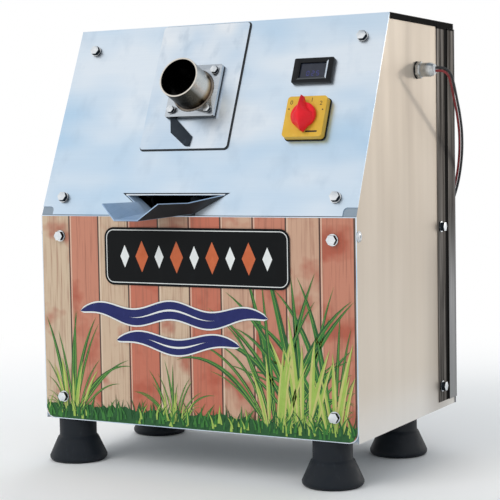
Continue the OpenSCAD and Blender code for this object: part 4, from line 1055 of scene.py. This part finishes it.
@dataclass
class Leads:
    """The red and black wires from the gland to their ring terminals, in millimetres of the row's frame.

    The route gives distances right of the gland's end, shares of the way back and shares of its height.
    """

    exit: Point = (225.0, 39.0, 452.0)
    floor_z: float = 2.2
    span: float = 114.0
    pitch: float = 3.5
    thick: float = 3.0
    length: float = 621.8
    steps: int = 8
    route: tuple[Point, ...] = (
        (6.5, 0.006, 1), (11.4, 0.035, 0.996), (13.4, 0.097, 0.986), (12, 0.202, 0.965), (8.5, 0.36, 0.932),
        (3.5, 0.57, 0.888), (-3.5, 0.794, 0.836), (-12.5, 0.987, 0.773), (-23.5, 1.118, 0.702),
        (-37.5, 1.158, 0.62), (-50, 1.184, 0.533), (-62, 1.202, 0.431), (-74, 1.219, 0.329),
        (-84, 1.228, 0.222), (-93, 1.237, 0.129), (-100, 1.254, 0.062), (-113, 1.281, 0.015),
        (-131, 1.307, 0), (-151, 1.325, 0), (-171, 1.325, 0), (-189, 1.316, 0), (-207, 1.298, 0))
    spread: tuple[float, ...] = (0.0,) * 19 + (0.5, 1.8, 3.4)
    lean: tuple[float, ...] = (0.0, 30.0, 60.0) + (90.0,) * 19
    turn: tuple[float, ...] = (0.0,) * 10 + (30.0, 60.0) + (90.0,) * 10
    panel_x: float = 203.0
    sides: int = 40
    seal: Profile = ((8.6, 0.05), (9.9, 0.05), (10.0, 0.6), (9.6, 1.1), (8.6, 1.2))
    insert: Profile = ((5.3, -0.4), (5.3, 0.3), (4.8, 0.8), (3.9, 1.0))

    def points(self, hand: int) -> list[Vector]:
        """Points that one wire passes through.

        Args:
            hand: -1 for the red wire and 1 for the black.

        Returns:
            The points, from the gland to the terminal.
        """
        shift = hand * self.pitch / 2
        x, y, z = self.exit
        found = [Vector((x, y, z + shift))]
        for (out, back, fall), part, lean_deg, turn_deg in zip(self.route, self.spread, self.lean, self.turn):
            lean, turn = math.radians(lean_deg), math.radians(turn_deg)
            side = Vector((math.sin(lean) * math.cos(turn), (1 + part) * math.sin(turn), math.cos(lean)))
            place = Vector((x + out, y + back * self.span, self.floor_z + fall * (z - self.floor_z)))
            found.append(place + shift * side)
        return found

    def smooth(self, points: list[Vector]) -> list[Vector]:
        """Draws a smooth line through the points.

        Args:
            points: The points in order.

        Returns:
            A closer run of points on the curve.
        """
        last, found = len(points) - 1, []
        for i in range(last):
            a, b, c, d = points[max(i - 1, 0)], points[i], points[i + 1], points[min(i + 2, last)]
            for k in range(self.steps):
                t = k / self.steps
                found.append(0.5 * (2 * b + (c - a) * t + (2 * a - 5 * b + 4 * c - d) * t * t
                                    + (3 * b - a - 3 * c + d) * t ** 3))
        return found + [points[last]]

    def wire(self, colour: str, hand: int, finish: Finish) -> None:
        """Makes one wire.

        Args:
            colour: The wire's colour, which starts its names.
            hand: -1 for the red wire and 1 for the black.
            finish: Its finish.
        """
        curve = bpy.data.curves.new(f"{colour}_lead", "CURVE")
        curve.dimensions = "3D"
        curve.bevel_depth = self.thick / 2 * MM
        curve.bevel_resolution = 3
        curve.use_fill_caps = True
        line = self.smooth(self.points(hand))
        spline = curve.splines.new("POLY")
        spline.points.add(len(line) - 1)
        for point, place in zip(spline.points, line):
            point.co = (*(place * MM), 1.0)
        spline.use_smooth = True
        curve.materials.append(finish.material())
        lead = add_object(f"{colour}_lead", curve)
        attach(lead, Body.CABINET.value)
        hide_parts(f"{colour}_wire")
        LOG.info("made %s_lead on cabinet", colour)
        dress(finish, f"{colour}_wire")

    def seals(self) -> None:
        """Makes the gland's seal ring on the panel and the soft insert round the wires."""
        ring, insert = Shape(), Shape()
        ring.turn((self.panel_x, *self.exit[1:]), self.seal, self.sides, Ends.JOINED)
        ring.piece("gland_seal_ring", [SEAL_RUBBER], Slot.GASKET)
        insert.turn(self.exit, self.insert, self.sides)
        insert.piece("gland_soft_insert", [PALE_RUBBER], Slot.GASKET)

    def build(self) -> None:
        """Makes both wires and dresses the gland and the terminals."""
        self.wire("red", -1, RED_PVC)
        self.wire("black", 1, BLACK_PVC)
        dress(ZINC, "red_terminal", "black_terminal", round_mm=0.15)
        dress(NICKEL, "gland_body", "gland_dome_nut", "gland_locknut", round_mm=0.6)
        self.seals()


@dataclass
class Shell:
    """The cabinet's sheets, feet and fasteners."""

    fold_mm: float = 0.35
    foot_mm: float = 1.2
    head_mm: float = 0.35
    side_x: float = 203.0
    rivet_y: float = -125.7
    rivet_z: float = 271.5
    rivet_sides: int = 36
    rivet_head: Profile = ((6.2, 0.02), (6.2, 0.5), (5.2, 1.4), (3.4, 1.95), (1.7, 2.1), (1.5, 1.3))

    def rivets(self) -> None:
        """Makes a blind rivet, a low dome with a sunk middle, near the front edge of each side."""
        shape = Shape()
        for way in (-1, 1):
            place = (way * self.side_x, self.rivet_y, self.rivet_z)
            shape.turn(place, self.rivet_head, self.rivet_sides, way=way)
        shape.piece("side_edge_rivets", [ZINC], Slot.FASTENER)

    def build(self) -> None:
        """Dresses the sheets, the feet and the fasteners, and makes the rivets."""
        dress(PANEL_STEEL, "sloped_panel", "front_panel", flat=True)
        for finish, *names in (
                (PLATE_STEEL, "feed_plate"), (SIDE_STEEL, "side_panel_left", "side_panel_right"),
                (COVER_STEEL, "top_rear_cover"), (INNER_STEEL, "base_pan")):
            dress(finish, *names, round_mm=self.fold_mm, flat=True)
        dress(FOOT_RUBBER, "foot_front_left", "foot_front_right", "foot_rear_left", "foot_rear_right",
              round_mm=self.foot_mm)
        for finish, *names in (
                (ZINC, "foot_bolts"), (FRONT_HEADS, "front_bolts"),
                (SLOPE_HEADS, "slope_bolts", "flange_bolts"), (COVER_HEADS, "cover_bolts")):
            dress(finish, *names, round_mm=self.head_mm)
        self.rivets()


@dataclass(frozen=True)
class Tuft:
    """Printed blades that arch out from one root, in millimetres and degrees from upright.

    A blade's width is a share of its length. The outer blades lean and bend most and are shorter.
    """

    count: int
    lengths: Pair
    reach: float
    bends: Pair
    slim: Pair
    inks: tuple[int, int]
    layer: float
    layer_step: float = 0.5
    lean_draw: float = 6.0
    outer_cut: float = 0.2
    root_w: float = 12.0
    root_draw: float = 4.0
    shortest: float = 12.0
    cut_back: float = 0.92
    rib_w: float = 0.35
    rib_ink: int = 2
    rib_layer: float = 0.25


@dataclass(frozen=True)
class Ribbon:
    """A printed wavy ribbon, in millimetres."""

    ends: Pair
    middle: float
    half: float
    waves: float
    rise: float = 5.0
    taper: float = 0.4
    steps: int = 48


@dataclass
class FrontPrint:
    """The printed film on the lower front: boards, grass, arching blades, ribbons and a label field.

    Places are in millimetres from the panel's middle and its lower edge. Inks lie in layers over the film.
    """

    half_w: float = 202.0
    low: float = 1.0
    high: float = 239.0
    margin: float = 1.0
    corner_r: float = 11.0
    foot_h: float = 52.0
    face_y: float = -132.4
    layer: float = 0.05
    roots: tuple[tuple[Pair, float], ...] = (
        ((176.0, 10.0), 0.86), ((104.0, 10.0), 0.9), ((140.0, 12.0), 1.02), ((-164.0, 10.0), 0.6),
        ((-24.0, 8.0), 0.34))
    thin: Tuft = Tuft(count=15, lengths=(120.0, 215.0), reach=40.0, bends=(40.0, 105.0), slim=(0.013, 0.022),
                      inks=(0, 1), layer=2.0)
    broad: Tuft = Tuft(count=7, lengths=(75.0, 130.0), reach=15.0, bends=(8.0, 30.0), slim=(0.026, 0.036),
                       inks=(2, 3), layer=10.0)
    leaf_steps: int = 14
    leaf_form: Pair = (0.8, 0.85)
    turf_steps: int = 90
    turf_tops: Pair = (15.0, 21.0)
    turf_least: float = 2.0
    turf_layer: float = 1.0
    blades: int = 230
    blade_steps: int = 4
    blade_margins: Pair = (3.0, 2.0)
    blade_lifts: Pair = (0.5, 9.0)
    blade_heights: Pair = (9.0, 26.0)
    blade_leans: Pair = (-0.6, 0.6)
    blade_halves: Pair = (0.9, 2.0)
    blade_taper: float = 0.7
    blade_inks: tuple[int, ...] = (0, 0, 1, 1, 2)
    blade_layers: Pair = (9.0, 0.05)
    wavy: tuple[Ribbon, ...] = (Ribbon(ends=(-150.0, 98.0), middle=129.0, half=11.5, waves=2.5),
                                Ribbon(ends=(-100.0, 62.0), middle=97.0, half=10.0, waves=1.5))
    ribbon_layer: float = 18.0
    ribbon_edge: float = 1.7
    ribbon_line: float = 1.1
    label_x: float = 6.0
    label_z: float = 194.0
    label_size: Point = (119.5, 33.0, 12.0)
    label_layers: Pair = (22.0, 23.0)
    outline_w: float = 0.9
    outline_in: float = 2.6
    lozenges: int = 9
    lozenge_step: float = 23.0
    lozenge_sizes: tuple[Pair, ...] = ((6.0, 13.0), (8.5, 18.0))
    seed: int = 11
    draw: random.Random = field(default_factory=random.Random)

    def on_film(self, x: float, z: float, layer: float) -> Vector:
        """Point on the film, some layers of ink above it."""
        return Vector((x, self.face_y - layer * self.layer, z + self.foot_h))

    def low_edge(self, x: float) -> float:
        """Height of the film's lower edge, which rises in its round corners."""
        past = max(0.0, abs(x) - (self.half_w - self.corner_r))
        return self.low + self.corner_r - math.sqrt(max(0.0, self.corner_r ** 2 - past ** 2))

    def leaf(self, root: Pair, lean: float, bend: float, length: float, width: float) -> list[Rib]:
        """Traces one leaf's spine.

        Args:
            root: Where the leaf starts.
            lean: Its first lean from upright, in degrees.
            bend: How much further it leans at its tip.
            length: Its length.
            width: Half its width at the widest place.

        Returns:
            Its ribs from root to tip, or nothing where it leaves the film.
        """
        place, found, count = Vector(root), [], self.leaf_steps
        early, full = self.leaf_form
        for i in range(count + 1):
            t = i / count
            angle = math.radians(lean + bend * t * t)
            half = width * math.sin(math.pi * t ** early) ** full if 0 < i < count else 0.0
            side = Vector((math.cos(angle), -math.sin(angle)))
            for edge in (place - side * half, place + side * half):
                inside = self.low_edge(edge.x) < edge.y < self.high - self.margin
                if abs(edge.x) > self.half_w - self.margin or not inside:
                    return []
            found.append((place.copy(), side, half))
            place += Vector((math.sin(angle), math.cos(angle))) * length / count
        return found

    def strip(self, shape: Shape, spine: list[Rib], layer: float, ink: int, ways: Pair = (1, -1)) -> None:
        """Prints a strip along a spine.

        Args:
            shape: The shape that takes the strip.
            spine: Its ribs, in order.
            layer: Its layer of ink.
            ink: Place of its ink in the piece's list of finishes.
            ways: Where its two edges lie, in half widths to the side.
        """
        shape.loft([[self.on_film(*(place + way * side * half), layer) for place, side, half in spine]
                    for way in ways], Ends.SHEET, ink)

    def tuft(self, shape: Shape, root: Pair, scale: float, kind: Tuft) -> None:
        """Adds a tuft of blades, each with two halves and a rib, and cuts back those that leave the film.

        Args:
            shape: The shape that takes the blades.
            root: Where the tuft starts.
            scale: Its size, as a share of the kind's lengths.
            kind: Its kind of blades.
        """
        order = list(range(kind.count))
        self.draw.shuffle(order)
        for rank, i in enumerate(order):
            share = 2 * i / (kind.count - 1) - 1
            lean = share * kind.reach + self.draw.uniform(-kind.lean_draw, kind.lean_draw)
            drawn = self.draw.uniform(*(scale * part for part in kind.lengths))
            length = drawn * (1.0 - kind.outer_cut * abs(share))
            bend, width = share * self.draw.uniform(*kind.bends), self.draw.uniform(*kind.slim)
            x = root[0] + share * kind.root_w + self.draw.uniform(-kind.root_draw, kind.root_draw)
            spine: list[Rib] = []
            while not spine and length > kind.shortest:
                spine = self.leaf((x, root[1]), lean, bend, length, length * width)
                length *= kind.cut_back
            level = kind.layer + rank * kind.layer_step
            for half, ways in enumerate(((-1, 0), (0, 1))):
                self.strip(shape, spine, level, kind.inks[(rank + half) % 2], ways)
            rib = [(p, s, kind.rib_w * (1 - k / len(spine))) for k, (p, s, _) in enumerate(spine)]
            self.strip(shape, rib, level + kind.rib_layer, kind.rib_ink)

    def foliage(self) -> None:
        """Prints tufts of blades: long thin green ones, and broad pale ones before them."""
        shape = Shape()
        for root, scale in self.roots:
            for kind in (self.thin, self.broad):
                self.tuft(shape, root, scale, kind)
        inks = [LEAF_DARK, LEAF_MID, LEAF_PALE, LEAF_STRAW]
        shape.piece("print_blade_tufts", inks, Slot.VINYL, sharp_deg=0)

    def grass(self) -> None:
        """Prints a band of turf along the lower edge, with single blades over it."""
        shape, turf = Shape(), []
        for i in range(self.turf_steps + 1):
            x = (2 * i / self.turf_steps - 1) * self.half_w
            low = self.low_edge(x)
            top = max(low + self.turf_least, self.draw.uniform(*self.turf_tops))
            turf.append((Vector((x, (low + top) / 2)), DOWN, (top - low) / 2))
        self.strip(shape, turf, self.turf_layer, 0)
        outer, inner = (self.half_w - margin for margin in self.blade_margins)
        for i in range(self.blades):
            x = self.draw.uniform(-outer, outer)
            low = self.low_edge(x) + self.draw.uniform(*self.blade_lifts)
            tall, lean = self.draw.uniform(*self.blade_heights), self.draw.uniform(*self.blade_leans)
            half = self.draw.uniform(*self.blade_halves)
            ink = self.draw.choice(self.blade_inks)
            blade = []
            for t in (k / self.blade_steps for k in range(self.blade_steps + 1)):
                middle = max(-inner, min(inner, x + lean * tall * t * t))
                blade.append((Vector((middle, low + tall * t)), RIGHT, half * (1 - t) ** self.blade_taper))
            self.strip(shape, blade, self.blade_layers[0] + self.blade_layers[1] * i, ink)
        shape.piece("print_grass", [LEAF_DARK, LEAF_MID, LEAF_PALE], Slot.VINYL, sharp_deg=0)

    def ribbons(self) -> None:
        """Prints wavy ribbons, navy with a pale edge and a pale line, across the boards."""
        shape = Shape()
        for ribbon in self.wavy:
            first, last = ribbon.ends
            insets = (0.0, self.ribbon_edge, ribbon.half - self.ribbon_line)
            for step, (inset, ink) in enumerate(zip(insets, (1, 0, 1))):
                spine = []
                for t in (k / ribbon.steps for k in range(ribbon.steps + 1)):
                    wide = max(0.0, ribbon.half * math.sin(math.pi * t) ** ribbon.taper - inset)
                    z = ribbon.middle + ribbon.rise * math.sin(math.tau * ribbon.waves * t)
                    spine.append((Vector((first + (last - first) * t, z)), DOWN, wide))
                self.strip(shape, spine, self.ribbon_layer + step, ink)
        shape.piece("print_ribbons", [NAVY_INK, PALE_INK], Slot.VINYL, sharp_deg=0)

    def round_box(self, grow: float, layer: float) -> list[Vector]:
        """Outline of the label, grown by a margin, on a layer of ink."""
        outline = round_rect(*(size + grow for size in self.label_size))
        return [self.on_film(self.label_x + x, self.label_z + z, layer) for x, z in outline]

    def label(self) -> None:
        """Prints the dark label field, its thin pale outline and a row of lozenges."""
        shape = Shape()
        under, over = self.label_layers
        edge = self.round_box(0, under)
        shape.add(edge, [tuple(reversed(range(len(edge))))])
        insets = (self.outline_in + self.outline_w, self.outline_in)
        shape.loft([self.round_box(-inset, over) for inset in insets], Ends.OPEN, 1)
        for i in range(self.lozenges):
            x = self.label_x + (i - (self.lozenges - 1) / 2) * self.lozenge_step
            wide, tall = self.lozenge_sizes[i % 2]
            shape.add([self.on_film(x + dx * wide, self.label_z + dz * tall, over)
                       for dx, dz in ((0, -1), (1, 0), (0, 1), (-1, 0))], [(0, 1, 2, 3)], 1 + i % 2)
        shape.piece("print_label_field", [LABEL_INK, PALE_INK, ORANGE_INK], Slot.VINYL, sharp_deg=0)

    def build(self) -> None:
        """Dresses the film and prints the design on it."""
        self.draw.seed(self.seed)
        dress(BOARDS, "front_print")
        self.foliage()
        self.grass()
        self.ribbons()
        self.label()


@dataclass
class Feed:
    """The feed tube with its flange, gasket and weld, and the pouring spout, in places on the slope."""

    x: float = -22.0
    up: float = 149.0
    tube_r: float = 24.15
    face: float = 8.5
    bead_r: float = 2.0
    bead_out: float = 0.3
    bead_steps: int = 96
    bead_sides: int = 10
    ripple: float = 0.28
    ripples: int = 44
    swell: float = 0.3
    swells: int = 3
    swell_phase: float = 1.0
    plate_x: float = -25.5
    plate_up: float = 157.65
    plate_size: Point = (57.5, 78.15, 4.0)
    # Section of the dark bead round the feed plate, a painted shadow line
    shadow_bead: Profile = ((0.05, 0.0), (1.6, 0.0), (1.1, 0.9), (0.05, 1.4))
    mouth: Pair = (-89.0, 41.0)
    mouth_up: float = 24.5
    hem_out: float = 0.5
    hem_half: Pair = (1.0, 0.7)
    hem_sides: int = 12

    def weld(self) -> None:
        """Makes the rippled weld bead where the tube meets its flange."""
        shape = Shape()
        across, rising, outward = SLOPE.axes()
        middle = SLOPE.at(self.x, self.up, self.face)
        rings = []
        for i in range(self.bead_steps):
            turn = math.tau * i / self.bead_steps
            away = math.cos(turn) * across + math.sin(turn) * rising
            thick = (self.bead_r + self.ripple * math.sin(self.ripples * turn)
                     + self.swell * math.sin(self.swells * turn + self.swell_phase))
            rings.append([middle + away * (self.tube_r + self.bead_out + thick * c) + outward * thick * s
                          for c, s in circle(self.bead_sides)])
        shape.loft(rings)
        shape.piece("feed_weld_bead", [WELD], Slot.TUBE, sharp_deg=80)

    def trims(self) -> None:
        """Makes the dark bead round the feed plate, a painted shadow line, and the rolled hem over the
        spout's mouth.
        """
        bead, hem = Shape(), Shape()
        # A dark bead round the feed plate, standing in for the shadow line at its edges
        bead.trim(self.plate_x, self.plate_up, self.plate_size, self.shadow_bead)
        bead.piece("feed_plate_shadow_bead", [SHADOW_BEAD], Slot.GASKET)
        tall, deep = self.hem_half
        section = [(self.mouth_up + tall * c, self.hem_out + deep * s) for c, s in circle(self.hem_sides)]
        hem.loft([[SLOPE.at(x, up, out) for up, out in section] for x in self.mouth], Ends.CAPPED)
        hem.piece("spout_mouth_hem", [HEM_STEEL], Slot.SPOUT)

    def build(self) -> None:
        """Dresses the feed and the spout, and makes the weld, the dark bead that paints the plate's shadow
        line, and the hem.
        """
        dress(PIPE, "feed_tube", round_mm=0.5)
        dress(GASKET_RUBBER, "flange_gasket", round_mm=0.3)
        dress(SPOUT_STEEL, "outlet_spout", round_mm=0.2, flat=True)
        # The tray deep in the mouth, almost black as painted shade
        dress(TRAY_STEEL, "juice_tray", round_mm=0.2)
        dress(INNER_STEEL, "waste_chute", round_mm=0.2)
        self.weld()
        self.trims()


@dataclass
class Controls:
    """The rotary switch with its knob and marks, and the panel meter with its display, on the slope."""

    x: float = 127.0
    up: float = 112.0
    plate_size: Point = (24.0, 24.0, 4.0)
    plate_t: float = 10.0
    seal: Profile = ((0.05, 0.0), (1.0, 0.0), (0.9, 1.5), (0.05, 1.9))
    knob_gap: float = 0.4
    knob_turn: float = 8.0
    disc_r: float = 14.5
    disc_t: float = 6.0
    disc_sides: int = 48
    disc_edge: Profile = ((-0.6, 0.0), (0.0, 0.6), (0.0, 4.4), (-0.5, 5.5), (-1.6, 6.0))
    grip_l: float = 42.0
    grip_w: float = 21.0
    grip_h: float = 11.5
    grip_foot: float = 3.0
    grip_drop: float = 0.6
    grip_form: Point = (1.6, 1.4, 0.8)
    grip_rows: int = 36
    grip_cols: int = 20
    taper: float = 0.46
    tip: float = 0.4
    pointer: float = 1.4
    mark_out: float = 0.06
    numeral_size: float = 7.0
    numerals: tuple[tuple[str, float, float], ...] = (("0", -18.5, 16.5), ("1", 6.0, 19.2), ("2", 17.5, 15.0))
    ticks: tuple[tuple[Pair, Pair], ...] = (
        ((-20.5, 9.0), (0.8, 0.8)), ((20.5, 7.5), (0.8, 0.8)), ((11.0, -18.0), (7.0, 0.95)))
    meter_x: float = 124.0
    meter_up: float = 170.0
    window: Pair = (16.0, 9.25)
    bevel: Profile = ((2.2, 5.63), (0.1, 5.03))
    # Finish of the bevel's left, bottom, right and top sides: black, then grey and bright as painted light on
    # the bottom and right, then black
    bevel_painted_light_inks: tuple[int, ...] = (0, 1, 2, 0)
    digit_out: float = 3.05
    digit_drop: float = 3.2
    digit_half: Pair = (1.5, 2.6)
    bar_half: float = 0.32
    bar_gap: float = 0.25
    shown: tuple[tuple[float, str], ...] = ((-6.0, "abcdef"), (0.0, "abged"), (6.0, "afgcd"))

    def seat(self, x: float, up: float, out: float, turn_deg: float = 0.0) -> Vector:
        """Point of a place on the switch, turned about the knob's axis."""
        turned = Matrix.Rotation(math.radians(turn_deg), 2) @ Vector((x, up))
        return SLOPE.at(self.x + turned.x, self.up + turned.y, out)

    def knob(self) -> None:
        """Makes the knob: a round disc and a tapered grip with a ridge along it and a slim pointer."""
        shape = Shape()
        base = self.plate_t + self.knob_gap
        shape.loft([[self.seat((self.disc_r + grow) * c, (self.disc_r + grow) * s, base + out, self.knob_turn)
                     for c, s in circle(self.disc_sides)] for grow, out in self.disc_edge], Ends.CAPPED)
        narrow, round_off, full = self.grip_form
        grip = []
        for i in range(self.grip_rows + 1):
            u = math.sin(math.pi * (i / self.grip_rows - 0.5))
            half = min(self.disc_r + self.disc_edge[0][0], self.grip_l * self.taper * (1 + u) + self.tip)
            if u > 0:
                half = self.grip_w / 2 * (1 - u) ** narrow + self.pointer
            tall = self.grip_h * (1 - self.grip_drop * u ** 2) + self.disc_t - self.grip_foot
            line = []
            for v in (2 * k / self.grip_cols - 1 for k in range(self.grip_cols + 1)):
                ridge = base + self.grip_foot + tall * (1 - abs(v) ** round_off) ** full
                line.append(self.seat(v * half, u * self.grip_l / 2, ridge, self.knob_turn))
            grip.append(line)
        shape.loft(grip, Ends.SHEET)
        knob = shape.piece("switch_leaf_knob", [RED_ABS], Slot.RED, Body.KNOB, sharp_deg=55)
        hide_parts("switch_knob")

    def marks(self) -> None:
        """Prints numerals and ticks on the switch plate."""
        shape = Shape()
        out = self.plate_t + self.mark_out
        for numeral, x, up in self.numerals:
            text = bpy.data.curves.new("numeral", "FONT")
            text.body = numeral
            text.size = self.numeral_size
            text.align_x = "CENTER"
            text.align_y = "CENTER"
            holder = bpy.data.objects.new("numeral", text)
            mesh = bpy.data.meshes.new_from_object(holder)
            shape.add([self.seat(x + v.co.x, up + v.co.y, out) for v in mesh.vertices],
                      [tuple(p.vertices) for p in mesh.polygons])
            bpy.data.objects.remove(holder)
            bpy.data.curves.remove(text)
            bpy.data.meshes.remove(mesh)
        for (x, up), size in self.ticks:
            shape.patch(self.x + x, self.up + up, out, size)
        shape.piece("switch_marks", [MARK_INK], Slot.BLACK, sharp_deg=0)

    def display(self) -> None:
        """Makes the meter's dim digits from seven bars each, of which those at a side are upright."""
        shape = Shape()
        bars = {"a": (0, 1), "g": (0, 0), "d": (0, -1), "f": (-1, 0.5), "b": (1, 0.5),
                "e": (-1, -0.5), "c": (1, -0.5)}
        half_w, half_h = self.digit_half
        upright, level = (self.bar_half, half_h / 2 - self.bar_gap), (half_w - self.bar_gap, self.bar_half)
        for place, lit in self.shown:
            for side, rise in (bars[bar] for bar in lit):
                x, up = self.meter_x + place + side * half_w, self.meter_up - self.digit_drop + rise * half_h
                shape.patch(x, up, self.digit_out, upright if side else level)
        shape.piece("meter_digits", [SEGMENT], Slot.LENS, sharp_deg=0)

    def trims(self) -> None:
        """Makes the seal under the switch plate and the bevel inside the meter's window, whose sides are
        coloured as painted light.
        """
        seal, bevel = Shape(), Shape()
        seal.trim(self.x, self.up, self.plate_size, self.seal)
        seal.piece("switch_base_seal", [SEAL_RUBBER], Slot.GASKET)
        half_w, half_h = self.window
        rings = [[SLOPE.at(self.meter_x + sx * (half_w + grow), self.meter_up + sy * (half_h + grow), out)
                  for sx, sy in CORNERS] for grow, out in self.bevel]
        # The bevel's sides take black, grey and a pale highlight by side: painted light
        for k, ink in enumerate(self.bevel_painted_light_inks):
            bevel.loft([[ring[k - 1], ring[k]] for ring in rings], Ends.SHEET, ink)
        bevel.piece("meter_window_bevel", [BLACK_ABS, GREY_POLYAMIDE, BEVEL_HIGHLIGHT], Slot.LENS, sharp_deg=0)

    def build(self) -> None:
        """Dresses the switch and the meter, and makes the knob, marks, digits and trims."""
        dress(YELLOW_ABS, "switch_plate", round_mm=1.6)
        dress(GREY_POLYAMIDE, "switch_block", round_mm=0.5)
        dress(TURNED_STEEL, "switch_shaft")
        dress(RED_ABS, "switch_knob")
        dress(BLACK_ABS, "meter_case", round_mm=0.7)
        dress(SMOKED_ACRYLIC, "meter_lens")
        self.knob()
        self.marks()
        self.display()
        self.trims()


@dataclass
class Mill:
    """The rollers, their frame, gears and drive inside the cabinet."""

    edge_mm: float = 0.4

    def build(self) -> None:
        """Dresses the mill and its drive."""
        for finish, *names in (
                (MILL_STEEL, "mill_plate_left", "mill_plate_right", "mill_angles", "gearbox_standoffs"),
                (ZINC, "mill_bolts", "tie_nuts"),
                (TURNED_STEEL, "tie_bars", "lower_roller", "upper_roller", "output_shaft"),
                (BRONZE, "lower_bush_left", "lower_bush_right", "upper_bush_left", "upper_bush_right"),
                (GEAR_STEEL, "lower_roller_gear", "upper_roller_gear", "drive_pinion"),
                (GREY_ENAMEL, "gearbox"), (BLACK_ENAMEL, "motor")):
            dress(finish, *names, round_mm=self.edge_mm)


def write_sizes() -> None:
    """Updates the view layer.
    """
    bpy.context.view_layer.update()


def main() -> None:
    """Builds the scene."""
    logging.basicConfig(level=logging.INFO, format="%(name)s: %(message)s")
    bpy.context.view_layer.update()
    studio = Studio()
    studio.camera()
    Leads().build()
    for assembly in (Shell(), FrontPrint(), Feed(), Controls(), Mill()):
        assembly.build()
    studio.world()
    studio.light()
    studio.floor()
    write_sizes()


if __name__ == "__main__":
    main()
